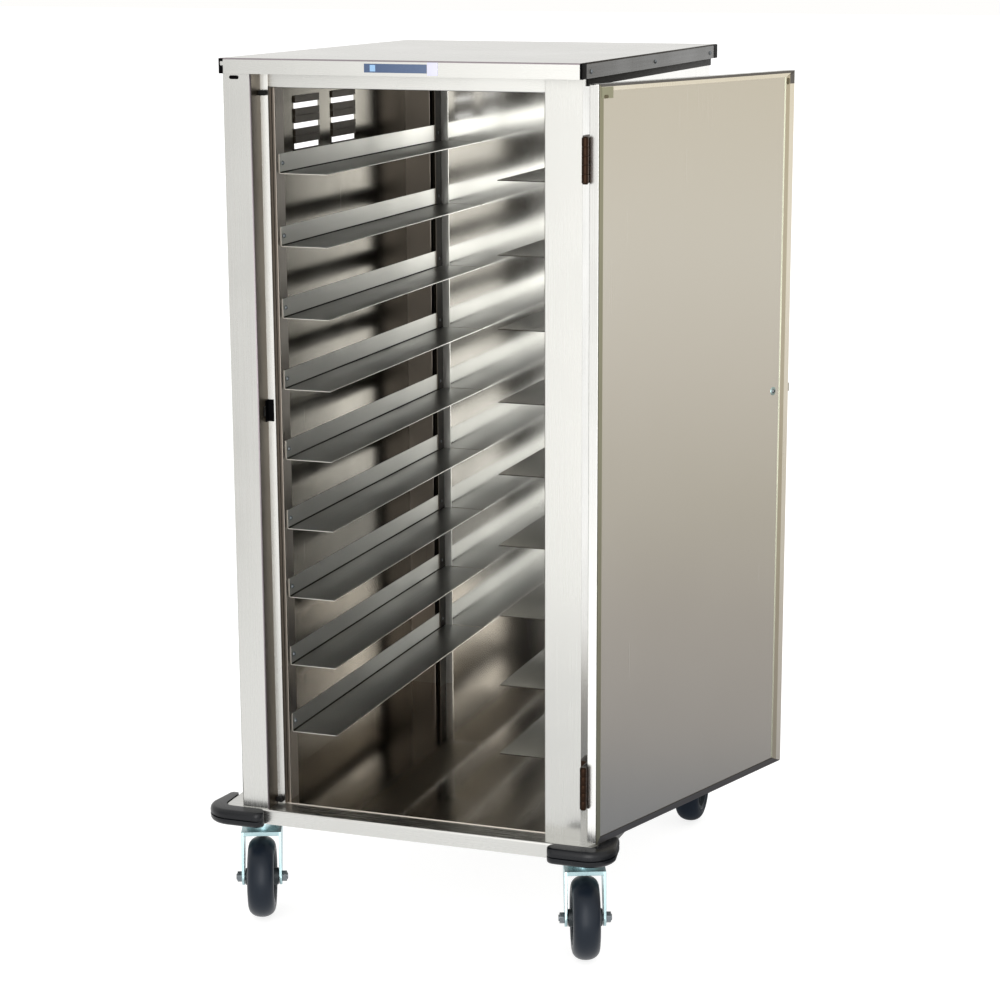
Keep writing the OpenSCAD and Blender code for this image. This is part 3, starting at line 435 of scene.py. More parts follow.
# Uprights: dull sheet, and the rear ones are painted nearly black inside their folds and on their flanges at the
# back panel, painted shade.
uprightSettings = {"fold": 0.0016, "legShift": 0.0031, "legReach": 0.0025, "flangeReach": 0.004}
backLow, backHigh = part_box("back_panel")
backFace, middleX = backLow.y, (backLow.x + backHigh.x) / 2
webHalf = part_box("ledge_pair_1")[1].x - middleX  # from the cart's middle to the outside of a ledge's web


def makeUprights(s):
    for node in ("front_uprights", "rear_uprights"):
        folded[node] = foldedNode(node, "folded_" + node, s["fold"])
    rear = folded["rear_uprights"]
    for vert in rear.data.vertices:  # the legs stand in front of the ledges' webs
        if abs(abs(vert.co.x - middleX) - webHalf) < s["legReach"]:
            vert.co.x += s["legShift"] * (1 if vert.co.x < middleX else -1)
    isFlange = turnedTo((0, -1, 0))
    paintFaces(rear, "shadedSteel", lambda face: abs(face.normal.x) > 0.9 or (
        isFlange(face) and face.center.y > backFace - s["flangeReach"]))


makeUprights(uprightSettings)


# Small parts with their sharp edges broken: how far, on every convex edge.
edgeBreaks = {"cabinet_hinge_leaves": 0.0005, "door_hinge_leaves": 0.0005, "hinge_pins": 0.0006,
              "caster_plates": 0.0008, "latch_paddle": 0.0006, "stop_pads": 0.0014}
for corner in corners:
    edgeBreaks["fork_" + corner] = 0.0009
    edgeBreaks["axle_" + corner] = 0.0006
for node, size in edgeBreaks.items():
    folded[node] = foldedNode(node, "edged_" + node, size, wide=0.0, segments=2)
print("edges broken:", len(edgeBreaks))


def lathe(name, outline, centre, axis, steps=72, smooth=32):
    # turns a closed outline of (along, radius) round an axis
    turn = Vector((0, 0, 1)).rotation_difference(Vector(axis)).to_matrix().to_4x4()
    place = Matrix.Translation(centre) @ turn
    count = len(outline)
    points, faces = [], []
    for step in range(steps):
        angle = 2 * math.pi * step / steps
        for along, radius in outline:
            points.append(place @ Vector((radius * math.cos(angle), radius * math.sin(angle), along)))
        near, far = step * count, (step + 1) % steps * count
        for i in range(count):
            j = (i + 1) % count
            faces.append((near + i, far + i, far + j, near + j))
    return closeShell(makeMesh(name, points, faces), smooth)


def closeShell(piece, smooth=32):  # normals outwards, smooth up to this angle in degrees
    shape = bmesh.new()
    shape.from_mesh(piece.data)
    bmesh.ops.remove_doubles(shape, verts=shape.verts, dist=0.000001)
    bmesh.ops.recalc_face_normals(shape, faces=shape.faces)
    shape.to_mesh(piece.data)
    shape.free()
    piece.data.shade_smooth()
    piece.data.set_sharp_from_angle(angle=math.radians(smooth))
    return piece


def extrude(name, outline, depth, place, bevel=0.0, smooth=40):
    # a flat outline given depth along its own Z, then put in its place
    shape = bmesh.new()
    base = shape.faces.new([shape.verts.new((x, y, 0)) for x, y in outline])
    pushed = bmesh.ops.extrude_face_region(shape, geom=[base])
    tops = [v for v in pushed["geom"] if isinstance(v, bmesh.types.BMVert)]
    bmesh.ops.translate(shape, verts=tops, vec=(0, 0, depth))
    bmesh.ops.recalc_face_normals(shape, faces=shape.faces)
    if bevel:
        rims = [e for e in shape.edges if e.calc_face_angle(0) > math.radians(50)]
        bmesh.ops.bevel(shape, geom=rims, offset=bevel, segments=2, profile=0.5, affect="EDGES")
    bmesh.ops.transform(shape, matrix=place, verts=shape.verts)
    return closeShell(fromBmesh(name, shape), smooth)


upright = Matrix.Rotation(math.radians(90), 4, "X")  # an outline's Y goes up, its depth forwards


def rectangle(x0, y0, x1, y1):
    return [(x0, y0), (x1, y0), (x1, y1), (x0, y1)]


def slotOutline(width, height, steps=8):  # an upright or lying slot with round ends, about its middle
    r = min(width, height) / 2
    a, b = width / 2 - r, height / 2 - r
    outline = []
    for quarter, (sx, sy) in enumerate(((1, 1), (-1, 1), (-1, -1), (1, -1))):
        for step in range(steps + 1):
            angle = math.pi / 2 * (quarter + step / steps)
            point = (sx * a + r * math.cos(angle), sy * b + r * math.sin(angle))
            if not outline or math.dist(point, outline[-1]) > 0.00001:
                outline.append(point)
    if math.dist(outline[0], outline[-1]) < 0.00001:
        outline.pop()
    return outline


# Ledges: an L of sheet with a standing web painted bright, a painted highlight, rounded along its bend.
ledgeSettings = {"pairs": 9, "sheet": 0.0015, "shelf": 0.090, "outerBend": 0.0032, "innerBend": 0.0022,
                 "bendSteps": 4}


def ledgeOutline(s, height, side):  # seen along the ledge; side is 1 where the shelf points right
    t, outer, inner = s["sheet"], s["outerBend"], s["innerBend"]
    quarter = [math.pi / 2 * k / s["bendSteps"] for k in range(s["bendSteps"] + 1)]
    outline = [(0, height), (t, height)]
    outline += [(t + inner - inner * math.cos(a), t + inner - inner * math.sin(a)) for a in quarter]
    outline += [(s["shelf"], t), (s["shelf"], 0)]
    outline += [(outer - outer * math.sin(a), outer - outer * math.cos(a)) for a in quarter]
    return [(side * x, z) for x, z in outline]


def makeLedges(s):
    for i in range(1, s["pairs"] + 1):
        low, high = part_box(f"ledge_pair_{i}")
        for name, x, side in (("left", low.x, 1), ("right", high.x, -1)):
            place = Matrix.Translation((x, high.y, low.z)) @ upright
            ledge = extrude(f"ledge_{name}_{i}", ledgeOutline(s, high.z - low.z, side), high.y - low.y, place)
            finishPiece(ledge, "cabinet", "ledge_steel", replaced=(f"ledge_pair_{i}",))
            # painted light: webs brighter, shelves darker on the left and brighter on the right; the right ledges'
            # fronts and every inner bend painted dark, painted shade
            paintFaces(ledge, "webSteel", turnedTo((side, 0, 0)))
            paintFaces(ledge, "shelfSteel" if side > 0 else "shelfBright", turnedTo((0, 0, 1)))
            if side < 0:
                paintFaces(ledge, "shadedSteel", turnedTo((0, -1, 0)))
            paintFaces(ledge, "shadedSteel", lambda face: min(face.normal.x * side, face.normal.z) > 0.1)


makeLedges(ledgeSettings)
print("ledges made")

# Wheels: a solid tyre with a ring on its sidewall, on a ribbed nylon core.
wheelSettings = {
    "radius": 0.076, "halfWidth": 0.025, "core": 0.049, "bead": 0.0225,
    "ring": 0.0555, "ringDeep": 0.0012, "wallIn": 0.0004,
    "shoulder": 0.002, "crownSteps": 10, "crownPower": 0.92,
    "hubHalf": 0.031, "hubRadius": 0.016, "bore": 0.0061, "web": 0.005, "rimInner": 0.043,
    "ribs": 8, "ribThick": 0.003, "ribHalf": 0.018, "ribLap": 0.002,
}


def tyreOutline(s):  # (along the axle, radius), from the bead over the crown to the other bead
    w, ring = s["halfWidth"], s["ring"]
    wall = w - s["wallIn"]
    sunk = wall - s["ringDeep"]
    side = [(s["bead"], s["core"]), (w - 0.0008, s["core"] + 0.0015), (wall, ring - 0.0012),
            (sunk, ring - 0.0004), (sunk, ring + 0.0004), (w, ring + 0.0014)]
    low = ring + s["shoulder"]
    for step in range(s["crownSteps"]):  # the shoulder and half the crown
        angle = math.pi / 2 * step / (s["crownSteps"] - 1)
        side.append((w * math.cos(angle) ** s["crownPower"], low + (s["radius"] - low) * math.sin(angle)))
    return side + [(-a, radius) for a, radius in reversed(side[:-1])]


def coreOutline(s):  # (along the axle, radius), from the bore over the hub, web and rim and back
    half, hub, web, rim, bead = s["hubHalf"], s["hubRadius"], s["web"], s["rimInner"], s["bead"]
    side = [(half, s["bore"]), (half, hub - 0.001), (half - 0.001, hub), (web + 0.002, hub + 0.0015),
            (web, hub + 0.004), (web, rim - 0.003), (web + 0.002, rim - 0.0005), (bead, rim + 0.001),
            (bead + 0.0003, s["core"] - 0.0005), (bead, s["core"])]
    return side + [(-a, radius) for a, radius in reversed(side)]


def newTree(name, inputs):  # a Geometry Nodes tree with named inputs, and its input node
    tree = bpy.data.node_groups.new(name, "GeometryNodeTree")
    tree.interface.new_socket("Geometry", in_out="INPUT", socket_type="NodeSocketGeometry")
    tree.interface.new_socket("Geometry", in_out="OUTPUT", socket_type="NodeSocketGeometry")
    for title, value in inputs.items():
        kind = "NodeSocketInt" if isinstance(value, int) else "NodeSocketFloat"
        tree.interface.new_socket(title, in_out="INPUT", socket_type=kind).default_value = value
    return tree, addNode(tree, "NodeGroupInput").outputs


def endTree(tree, instances, finish):
    solid = addNode(tree, "GeometryNodeRealizeInstances", {"Geometry": instances})
    painted = addNode(tree, "GeometryNodeSetMaterial", {"Geometry": solid.outputs[0],
                                                        "Material": finishes[finish]})
    addNode(tree, "NodeGroupOutput", {"Geometry": painted.outputs[0]})


def times(tree, value, share):
    return addNode(tree, "ShaderNodeMath", {0: value, 1: share}, operation="MULTIPLY").outputs[0]


def vector(tree, **parts):
    return addNode(tree, "ShaderNodeCombineXYZ", parts).outputs[0]


def boxNode(tree, x, y, z):
    return addNode(tree, "GeometryNodeMeshCube", {"Size": vector(tree, X=x, Y=y, Z=z)}).outputs[0]


def moved(tree, geometry, z):
    shift = {"Geometry": geometry, "Translation": vector(tree, Z=z)}
    return addNode(tree, "GeometryNodeTransform", shift).outputs[0]


def grow(name, tree, points, values, facing=None, place=None):
    # runs a tree on loose points and keeps the result as a plain mesh
    holder = makeMesh(name + "Points", points, [])
    if facing:
        away = holder.data.attributes.new("facing", "FLOAT_VECTOR", "POINT")
        for i, way in enumerate(facing):
            away.data[i].vector = way
    modifier = holder.modifiers.new("grow", "NODES")
    modifier.node_group = tree
    for item in tree.interface.items_tree:
        if item.in_out == "INPUT" and item.name in values:
            modifier[item.identifier] = values[item.name]
    graph = bpy.context.evaluated_depsgraph_get()
    mesh = bpy.data.meshes.new_from_object(holder.evaluated_get(graph), depsgraph=graph)
    bpy.data.objects.remove(holder)
    mesh.name = name
    if place:
        mesh.transform(place)
    return newObject(name, mesh)


# Screws with cross recesses, in the hinges, the lid's rim, the ledges and the door.
screwSettings = {"Head Width": 0.009, "Head Height": 0.0024, "Shank": 0.004, "Shank Length": 0.003}


def screwTree(finish):  # a domed head with a cross recess on a round shank, at each point
    tree, sizes = newTree("crossScrews" + finish, screwSettings)
    width, height = sizes["Head Width"], sizes["Head Height"]
    half, top, thin = (times(tree, width, share) for share in (0.5, 0.29, 0.12))
    head = addNode(tree, "GeometryNodeMeshCone", {
        "Vertices": 20, "Side Segments": 1, "Radius Top": top, "Radius Bottom": half, "Depth": height})
    arms = [moved(tree, boxNode(tree, x, y, height), height) for x, y in ((half, thin), (thin, half))]
    cross = addNode(tree, "GeometryNodeMeshBoolean", {"Mesh 2": arms}, operation="UNION")
    cut = addNode(tree, "GeometryNodeMeshBoolean", {
        "Mesh 1": head.outputs["Mesh"], "Mesh 2": [cross.outputs[0]]}, operation="DIFFERENCE")
    rod = addNode(tree, "GeometryNodeMeshCylinder", {
        "Vertices": 12, "Radius": times(tree, sizes["Shank"], 0.5), "Depth": sizes["Shank Length"]})
    shank = moved(tree, rod.outputs["Mesh"], times(tree, sizes["Shank Length"], -0.5))
    screw = addNode(tree, "GeometryNodeJoinGeometry", {"Geometry": [cut.outputs[0], shank]})
    facing = addNode(tree, "GeometryNodeInputNamedAttribute", {"Name": "facing"}, data_type="FLOAT_VECTOR")
    turn = addNode(tree, "FunctionNodeAlignRotationToVector", {"Vector": facing.outputs[0]}, axis="Z")
    placed = addNode(tree, "GeometryNodeInstanceOnPoints", {
        "Points": sizes["Geometry"], "Instance": screw.outputs[0], "Rotation": turn.outputs[0]})
    endTree(tree, placed.outputs[0], finish)
    return tree


def solidBoxes(node):  # lowest and highest corner of each separate solid of a node
    shape = bmesh.new()
    shape.from_mesh(nodes[node].data)
    bmesh.ops.remove_doubles(shape, verts=shape.verts, dist=0.00001)
    left, found = set(shape.verts), []
    while left:
        group, edge = set(), [left.pop()]
        while edge:
            vert = edge.pop()
            group.add(vert)
            for other in (e.other_vert(vert) for e in vert.link_edges):
                if other in left:
                    left.remove(other)
                    edge.append(other)
        spans = [[v.co[k] for v in group] for k in range(3)]
        found.append((Vector([min(s) for s in spans]), Vector([max(s) for s in spans])))
    shape.free()
    return found


def ribTree(finish, values):  # flat ribs standing in a ring
    tree, sizes = newTree("coreRibs", values)
    ring = addNode(tree, "GeometryNodeMeshCircle", {"Vertices": sizes["Count"], "Radius": sizes["Middle"]})
    rib = boxNode(tree, sizes["Length"], sizes["Thickness"], sizes["Width"])
    outward = addNode(tree, "GeometryNodeInputPosition")
    turn = addNode(tree, "FunctionNodeAlignRotationToVector", {"Vector": outward.outputs[0]}, axis="X",
                   pivot_axis="Z")
    placed = addNode(tree, "GeometryNodeInstanceOnPoints", {
        "Points": ring.outputs["Mesh"], "Instance": rib, "Rotation": turn.outputs[0]})
    endTree(tree, placed.outputs[0], finish)
    return tree


def makeWheels(s):
    sizes = {"Count": s["ribs"], "Middle": (s["hubRadius"] + s["rimInner"]) / 2,
             "Length": s["rimInner"] - s["hubRadius"] + s["ribLap"], "Thickness": s["ribThick"],
             "Width": 2 * s["ribHalf"]}
    ribs = ribTree("core", sizes)
    for corner in corners:
        spin = joints["spin_" + corner]
        centre, axis = Vector(spin["pos_m"]), Vector(spin["axis"])
        tyre = lathe("solid_tyre_" + corner, tyreOutline(s), centre, axis, steps=96)
        finishPiece(tyre, "wheel_" + corner, "tyre", replaced=("tyre_" + corner,))
        core = lathe("wheel_core_" + corner, coreOutline(s), centre, axis, steps=48)
        finishPiece(core, "wheel_" + corner, "wheel_core", replaced=("hub_" + corner,))
        turn = Vector((0, 0, 1)).rotation_difference(axis).to_matrix().to_4x4()
        ring = grow("core_ribs_" + corner, ribs, [(0, 0, 0)], sizes, place=Matrix.Translation(centre) @ turn)
        finishPiece(ring, "wheel_" + corner, "wheel_core", replaced=("hub_" + corner,))


makeWheels(wheelSettings)
print("wheels made")

cornerSides = [(x, y, f"{along}_{across}") for x, across in ((-1, "left"), (1, "right"))
               for y, along in ((-1, "front"), (1, "rear"))]


def cornerOf(low, high, sideX, sideY):
    return Vector((high.x if sideX > 0 else low.x, high.y if sideY > 0 else low.y))


# Rubber bumpers: one moulding wraps each corner of the base, grooved along its middle.
bumperSettings = {
    "thick": 0.031, "high": 0.030, "edge": 0.009, "armFront": 0.088, "armSide": 0.076, "taper": 0.25,
    "cornerRadius": 0.018, "grooveAt": 0.0145, "grooveHalf": 0.0018, "grooveDeep": 0.0028,
    "endSteps": 6, "endTip": 0.12, "endSquash": 0.15, "arcSteps": 10, "edgeSteps": 5, "smooth": 38,
}


def bumperOutline(s):  # (outwards, upwards), from the foot of the inner side round to its top
    t, h, r = s["thick"], s["high"], s["edge"]
    bend = [math.pi / 2 * k / s["edgeSteps"] for k in range(s["edgeSteps"] + 1)]
    lower = [(t - r + r * math.sin(a), r - r * math.cos(a)) for a in bend]
    upper = [(x, h - y) for x, y in reversed(lower)]
    at, half, deep = s["grooveAt"], s["grooveHalf"], s["grooveDeep"]
    groove = [(t, at - half), (t - deep, at - half / 2), (t - deep, at + half / 2), (t, at + half)]
    return [(0, 0)] + lower + groove + upper + [(0, h)]


def bumperStations(s, sideX, sideY, corner):
    # along the path: (place on the base, outwards, squeeze, thickness)
    r, half = s["cornerRadius"], s["thick"] / 2
    thin = s["thick"] * (1 - s["taper"])
    steps, tip = s["endSteps"], s["endTip"]
    ends = [math.pi / 2 * (k + tip) / (steps + tip) for k in range(steps + 1)]
    stations = []
    for angle in ends:
        away = s["armSide"] - half * (1 - math.cos(angle))
        stations.append(((corner.x, corner.y - sideY * away), (sideX, 0), math.sin(angle), thin))
    for k in range(s["arcSteps"] + 1):
        angle = math.pi / 2 * k / s["arcSteps"]
        out = (sideX * math.cos(angle), sideY * math.sin(angle))
        middle = (corner.x - sideX * r, corner.y - sideY * r)
        stations.append(((middle[0] + r * out[0], middle[1] + r * out[1]), out, 1.0, s["thick"]))
    for angle in reversed(ends):
        away = s["armFront"] - half * (1 - math.cos(angle))
        stations.append(((corner.x - sideX * away, corner.y), (0, sideY), math.sin(angle), s["thick"]))
    return stations


def makeBumper(s, name, sideX, sideY):
    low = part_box(name)[0]
    corner = cornerOf(baseLow, baseHigh, sideX, sideY)
    outline = bumperOutline(s)
    count, middle = len(outline), s["high"] / 2
    points, faces = [], []
    for place, out, squeeze, thick in bumperStations(s, sideX, sideY, corner):
        for share, up in ((t / s["thick"], up) for t, up in outline):
            t = thick / 2 + (share - 0.5) * thick * squeeze
            up = middle + (up - middle) * (1 - s["endSquash"] * (1 - squeeze))
            points.append((place[0] + out[0] * t, place[1] + out[1] * t, low.z + up))
    rings = len(points) // count
    for ring in range(rings - 1):
        for i in range(count):
            j = (i + 1) % count
            a, b = ring * count, (ring + 1) * count
            faces.append((a + i, a + j, b + j, b + i))
    faces.append(tuple(range(count)))
    faces.append(tuple(range((rings - 1) * count, rings * count)))
    piece = closeShell(makeMesh("rubber_" + name, points, faces), s["smooth"])
    finishPiece(piece, "cabinet", "bumper_rubber", replaced=(name,))


for sideX, sideY, name in cornerSides:
    makeBumper(bumperSettings, "bumper_" + name, sideX, sideY)
print("bumpers made")


def screwPlaces(node, size):  # each screw's seat, and the way that its head faces
    seats, facing = [], []
    for low, high in solidBoxes(node):
        centre = (low + high) / 2
        outwards = 1 if centre.x > middleX else -1
        if node == "ledge_screws":
            outwards = -outwards
        edge = high.x if outwards > 0 else low.x
        seats.append((edge - outwards * size, centre.y, centre.z))
        facing.append((outwards, 0, 0))
    return seats, facing


screws = screwTree("darkSteel")
for node in ("cabinet_screws", "ledge_screws"):
    seats, facing = screwPlaces(node, screwSettings["Head Height"])
    piece = grow("heads_" + node, screws, seats, screwSettings, facing)
    finishPiece(piece, "cabinet", "screw_steel", replaced=(node,))
print("screws placed")

# Name plate: a plain enamel bar with a pale end, and a small square beside it.
plateSettings = {"barWidth": 0.115, "barHeight": 0.015, "endFrom": 0.011, "endWidth": 0.010,
                 "endHeight": 0.011, "squareWidth": 0.019, "squareHeight": 0.022, "thick": 0.001,
                 "raised": 0.0003, "edge": 0.0002}


def makePlate(s):
    low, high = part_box("name_plate")
    middle = (low.z + high.z) / 2
    # outlines are drawn in X and Z, and their depth goes back to the rim
    place = Matrix.Translation((low.x, low.y, middle)) @ upright
    thick, edge = s["thick"], s["edge"]
    barUp, endUp, squareUp = s["barHeight"] / 2, s["endHeight"] / 2, s["squareHeight"] / 2
    bar = extrude("plate_bar", rectangle(0, -barUp, s["barWidth"], barUp), -thick, place, edge)
    end = extrude("plate_end", rectangle(s["endFrom"], -endUp, s["endFrom"] + s["endWidth"], endUp),
                  s["raised"], place)
    wide = high.x - low.x
    square = extrude("plate_square", rectangle(wide - s["squareWidth"], -squareUp, wide, squareUp),
                     -thick, place, edge)
    for piece, finish in ((bar, "plate"), (end, "plateEnd"), (square, "badge")):
        finishPiece(piece, "cabinet", "plate_enamel", finish, replaced=("name_plate",))


makePlate(plateSettings)

# A black rubber strip under each side rim of the lid is painted shade: the dark gap under the rim.
rimShadeSettings = {"thick": 0.0025, "high": 0.0145, "front": 0.022, "rear": 0.001, "edge": 0.0004}


def makeRimShades(s):
    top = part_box("lid")[0].z
    y0, y1 = rightLow.y + s["front"], rightHigh.y - s["rear"]
    place = Matrix.Translation((0, 0, top - s["high"]))
    for name, x in (("left", leftOuter - s["thick"]), ("right", rightHigh.x)):
        outline = rectangle(x, y0, x + s["thick"], y1)
        shadeStrip = extrude("rim_shade_strip_" + name, outline, s["high"], place, s["edge"])
        finishPiece(shadeStrip, "cabinet", "black_rubber")


makeRimShades(rimShadeSettings)

# A bright strip on the back panel beside each rear upright is a painted reflection.
backStripSettings = {"wide": 0.0165, "thick": 0.0014, "lap": 0.0015}


def makeBackStrips(s):
    low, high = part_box("rear_uprights")
    place = Matrix.Translation((0, 0, low.z))
    for name, side in (("left", -1), ("right", 1)):
        x0, x1 = sorted(middleX + side * (webHalf - s["lap"] - reach) for reach in (0, s["wide"]))
        outline = rectangle(x0, backFace - s["thick"], x1, backFace)
        seam = extrude("back_bright_strip_" + name, outline, high.z - low.z, place)
        finishPiece(seam, "cabinet", "stainless", "webSteel")


makeBackStrips(backStripSettings)

# Nylon caps cover the joints of the lid's rim. Bands: bottom, top, whether it reaches far.
capSettings = {"frontLong": 0.0085, "frontShort": 0.003, "side": 0.026, "thick": 0.0006, "steps": 6,
               "bands": [(0.0, 0.014, True), (0.014, 0.021, False), (0.021, 0.0262, True)]}


def capOutline(s, front, corner, sideX, sideY):  # an L in plan, round the lid's own corner radius
    r = foldRadii["lid"]
    outer, inner = [], []
    for reach, line in ((s["thick"], outer), (0, inner)):
        line.append((-front, reach))
        for k in range(s["steps"] + 1):
            angle = math.pi / 2 * (1 - k / s["steps"])
            line.append((-r + (r + reach) * math.cos(angle), -r + (r + reach) * math.sin(angle)))
        line.append((reach, -s["side"]))
    return [(corner.x + sideX * x, corner.y + sideY * y) for x, y in outer + inner[::-1]]


def makeLidCap(s, name, sideX, sideY):
    low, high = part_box("lid")
    corner = cornerOf(low, high, sideX, sideY)
    for k, (bottom, top, wide) in enumerate(s["bands"]):  # on the left the cap is notched at mid height
        front = s["frontLong"] if wide and sideX < 0 else s["frontShort"]
        outline = capOutline(s, front, corner, sideX, sideY)
        cap = extrude(f"{name}_{k}", outline, top - bottom, Matrix.Translation((0, 0, low.z + bottom)))
        finishPiece(cap, "cabinet", "black_nylon")


for sideX, sideY, name in cornerSides:
    makeLidCap(capSettings, "lid_cap_" + name, sideX, sideY)

# Post: a black slot-shaped piece under the lid, the painted shade of a dark slot, and the black strike that wraps
# from the post on to the strip.
postSettings = {"plugX": 0.0223, "plugZ": 1.5655, "plugWidth": 0.018, "plugHeight": 0.0065,
                "plugThick": 0.0008, "strikeFront": 0.0140, "strikeSide": 0.0108, "strikeThick": 0.0012,
                "strikeFoot": 0.0034, "trimRise": 0.0024, "trimEdge": 0.0003, "edge": 0.0003}


def makePostTrim(s):
    low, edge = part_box("latch_post")[0], s["edge"]
    place = Matrix.Translation((low.x + s["plugX"], low.y, s["plugZ"])) @ upright
    plug = extrude("post_slot_shade", slotOutline(s["plugWidth"], s["plugHeight"]), s["plugThick"], place, edge)
    finishPiece(plug, "cabinet", "black_nylon")
    strikeLow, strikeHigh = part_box("latch_strike")
    x, y = strikeLow.x, strikeHigh.y
    thin, front, foot = x + s["strikeThick"], y - s["strikeFront"], y - s["strikeFoot"]
    wide = x + s["strikeSide"]
    outline = [(x, y), (x, front), (thin, front), (thin, foot), (wide, foot), (wide, y)]
    place = Matrix.Translation((0, 0, strikeLow.z))
    strike = extrude("strike_wrap", outline, strikeHigh.z - strikeLow.z, place, edge)
    finishPiece(strike, "cabinet", "black_nylon", replaced=("latch_strike",))
    # the strip beside the post is dressed with a bright trim that slopes towards the opening
    stripLow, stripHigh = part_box("jamb_strip")
    wide = stripHigh.x
    outline = [(x, y), (x, y - s["trimRise"]), (wide, y - s["trimEdge"]), (wide, y)]
    trim = extrude("jamb_trim", outline, stripHigh.z - stripLow.z, Matrix.Translation((0, 0, stripLow.z)))
    finishPiece(trim, "cabinet", "stainless")


makePostTrim(postSettings)

# Vents: a flange inside the cabinet stiffens each slot's upper and lower edge, painted dark as the painted shade
# round the slot.
ventSettings = {"fromFront": 0.3095, "fromTop": 0.0995, "rows": 3, "columns": 2, "rowPitch": 0.0375,
                "columnPitch": 0.175, "length": 0.112, "height": 0.012, "lip": 0.0132, "lap": 0.0008,
                "lipDeep": 0.003, "sheet": 0.0012}


def lipTree(finish, values):  # a plain bar at each point
    tree, sizes = newTree("ventLips", values)
    bar = boxNode(tree, sizes["Depth"], sizes["Length"], sizes["Height"])
    placed = addNode(tree, "GeometryNodeInstanceOnPoints", {"Points": sizes["Geometry"], "Instance": bar})
    endTree(tree, placed.outputs[0], finish)
    return tree


def makeVentLips(s):
    low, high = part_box("left_side_panel")
    inside = s["sheet"] + s["lipDeep"] / 2
    reach = s["height"] / 2 - s["lap"] + s["lip"] / 2
    points = []
    for x in (leftOuter + inside, rightHigh.x - inside):
        for row in range(s["rows"]):
            z = high.z - s["fromTop"] - row * s["rowPitch"]
            for column in range(s["columns"]):
                y = low.y - s["sheet"] + s["fromFront"] + column * s["columnPitch"]
                points += [(x, y, z - reach), (x, y, z + reach)]
    sizes = {"Depth": s["lipDeep"], "Length": s["length"], "Height": s["lip"]}
    lips = grow("vent_lips", lipTree("ventShadeSteel", sizes), points, sizes)
    finishPiece(lips, "cabinet", "stainless")


makeVentLips(ventSettings)
print("cabinet trim made")

# Door: drawn closed, then turned about its hinge as far as it stands open.
hinge = Vector(joints["door_hinge"]["pos_m"])
openBy = math.radians(-joints["door_hinge"]["range_deg"][0])
doorPlace = Matrix.Translation(hinge) @ Matrix.Rotation(openBy, 4, "Z") @ Matrix.Translation(-hinge)
doorSettings = {
    "gapLatch": 0.0027, "overHinge": 0.0107, "set": 0.0125, "thick": 0.0215, "sheet": 0.0012,
    "border": 0.011, "borderLatch": 0.028, "seam": 0.0005, "proud": 0.0003, "lap": 0.0004,
    "latchMiddle": 0.015, "topRim": 0.0045, "cornerHigh": 0.024, "leaf": 0.0022,
    "latchInset": 0.050, "washer": 0.016, "washerThick": 0.001, "washerBore": 0.0032,
    "tabWidth": 0.038, "tabHeight": 0.024, "tabIn": 0.006, "tabDown": 0.005, "tabThick": 0.0006,
    "plugThick": 0.0012, "nearLatch": 0.01,
}


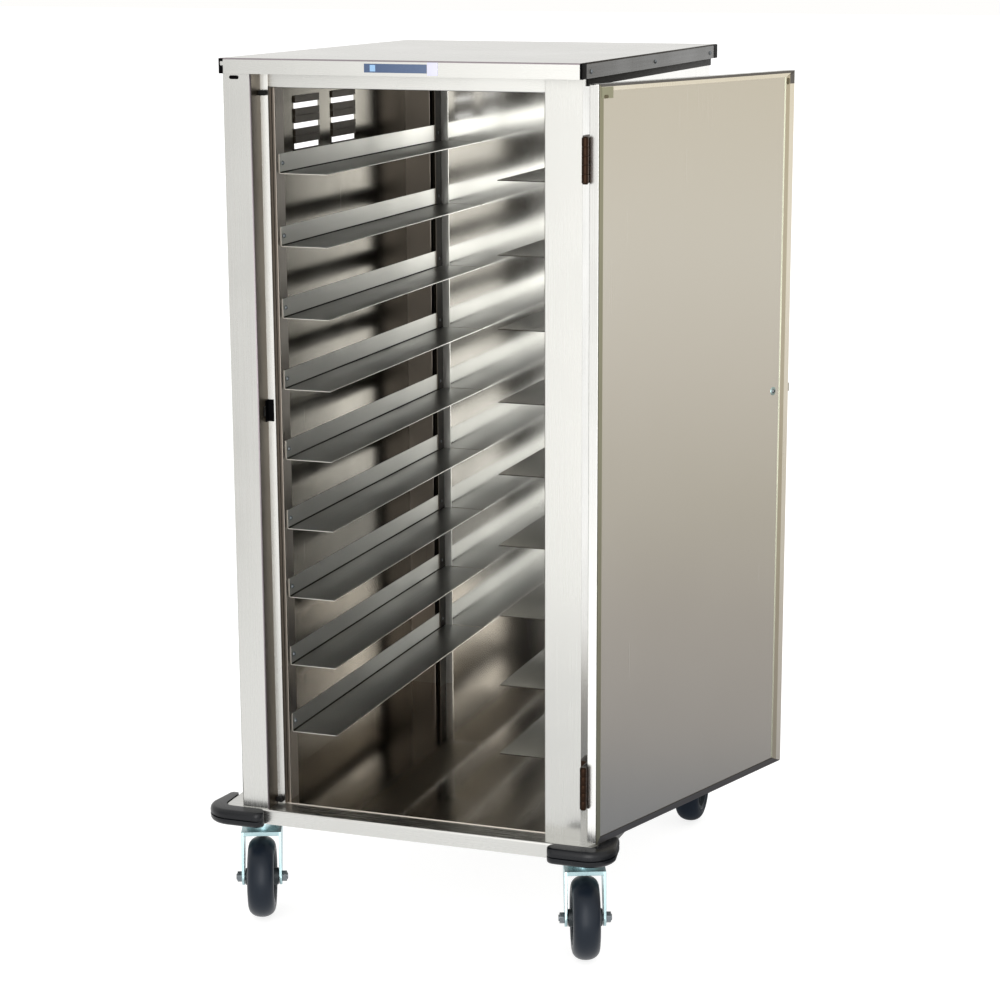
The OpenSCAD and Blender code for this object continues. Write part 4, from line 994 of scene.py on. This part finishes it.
def makeDoorTrim(s):
    low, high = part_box("door_pan")
    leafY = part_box("lid")[0].y + s["set"]
    x0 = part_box("latch_post")[1].x + s["gapLatch"]
    x1 = rightHigh.x + s["overHinge"]
    inner = leafY + s["thick"]  # the face that shows when the door is open
    face = doorPlace @ Matrix.Translation((0, inner, 0)) @ Matrix.Rotation(math.radians(-90), 4, "X")
    # in this frame x runs along the door, y runs down, and depth comes out of the face
    z0, z1 = -high.z, -low.z
    g, b, bl = s["seam"] / 2, s["border"] + s["lap"], s["borderLatch"] + s["lap"]
    mid, tip = x0 + s["latchMiddle"], z0 + s["cornerHigh"]
    left, right, top, foot = x0 + bl, x1 - b, z0 + b, z1 - b  # inner edges of the border
    rimX0, rimX1, rimZ = x0 + s["topRim"], x1 - s["topRim"], z0 + s["topRim"]
    halfTop, halfFoot = z0 + b / 2, z1 - b / 2
    # the folds' pale, dark and grey-green finishes are painted reflections and shade
    strips = {  # outline and finish of each fold
        "top_outer": ([(x0 + g, z0), (x1 - g, z0), (rimX1 - g, rimZ), (rimX0 + g, rimZ)], "borderDark"),
        "top_inner": ([(rimX0, rimZ), (rimX1, rimZ), (right - g, top), (left + g, top)], "borderPale"),
        "bottom": ([(x0 + g, z1), (left + g, foot), (right - g, foot), (x1 - g, z1)], "borderDark"),
        "latch_outer": ([(x0, tip), (mid, tip), (mid, halfFoot), (x0, z1 - g)], "borderPale"),
        "latch_corner": ([(x0, z0 + g), (mid, halfTop), (mid, tip), (x0, tip)], "borderDark"),
        "latch_inner": ([(mid, halfTop), (left, top + g), (left, foot - g), (mid, halfFoot)], "borderSteel"),
        "hinge_side": ([(x1, z0 + g), (x1, z1 - g), (right, foot - g), (right, top + g)], "borderOlive"),
    }
    sunk = face @ Matrix.Translation((0, 0, -s["sheet"]))
    away = doorPlace.to_3x3() @ Vector((0, 1, 0))
    # the door's hinge edge is painted brighter, a painted highlight
    paintFaces(folded["door_pan"], "hingeEdge", turnedTo(doorPlace.to_3x3() @ Vector((1, 0, 0))))
    for name, (outline, finish) in strips.items():
        strip = extrude("door_fold_" + name, outline, s["sheet"] + s["proud"], sunk)
        finishPiece(strip, "door", "stainless", finish)
        # the strips' edges are painted dark, painted shade; those of the inner latch fold grey-green, a painted
        # reflection
        side = "borderOlive" if name == "latch_inner" else "shadedSteel"
        paintFaces(strip, side, lambda part: abs(part.normal.dot(away)) < 0.5)
    outside = face @ Matrix.Translation((0, 0, s["proud"]))
    tabFoot = z0 + s["tabHeight"]
    outline = rectangle(x1 - s["tabWidth"], z0 + s["tabDown"], x1 - s["tabIn"], tabFoot)
    tab = extrude("door_corner_tab", outline, s["tabThick"], outside, 0.0002)
    finishPiece(tab, "door", "black_nylon", "oliveTab")
    for name, x, z, wide, tall in (("hinge", x1 - 0.018, tabFoot - 0.003, 0.012, 0.006),
                                   ("latch", x0 + 0.022, z0 + 0.019, 0.008, 0.012)):
        place = outside @ Matrix.Translation((x, z, 0))
        plug = extrude("door_plug_" + name, slotOutline(wide, tall), s["plugThick"], place, 0.0003)
        finishPiece(plug, "door", "black_nylon", "darkOlive")

    x, z = x0 + s["latchInset"], joints["paddle_hinge"]["pos_m"][2]
    seat = doorPlace @ Vector((x, inner - s["sheet"], z))
    w, t, bore = s["washer"] / 2, s["washerThick"], s["washerBore"]
    outline = [(0, bore), (0, w), (t * 0.7, w), (t, w - 0.0006), (t, bore)]
    washer = lathe("latch_washer", outline, seat, away, 40)
    finishPiece(washer, "door", "screw_steel", "zinc")
    seats, facing = [], []
    shut = doorPlace.inverted()
    for boxLow, boxHigh in solidBoxes("door_screws"):
        centre = shut @ ((boxLow + boxHigh) / 2)
        if (centre - Vector((x, centre.y, z))).length < s["nearLatch"]:
            continue
        seats.append(doorPlace @ Vector((centre.x, leafY - s["leaf"], centre.z)))
        facing.append(-away)
    seats.append(seat + away * t)
    facing.append(away)
    heads = grow("heads_door_screws", screws, seats, screwSettings, facing)
    finishPiece(heads, "door", "screw_steel", replaced=("door_screws",))


makeDoorTrim(doorSettings)
print("door trim made")
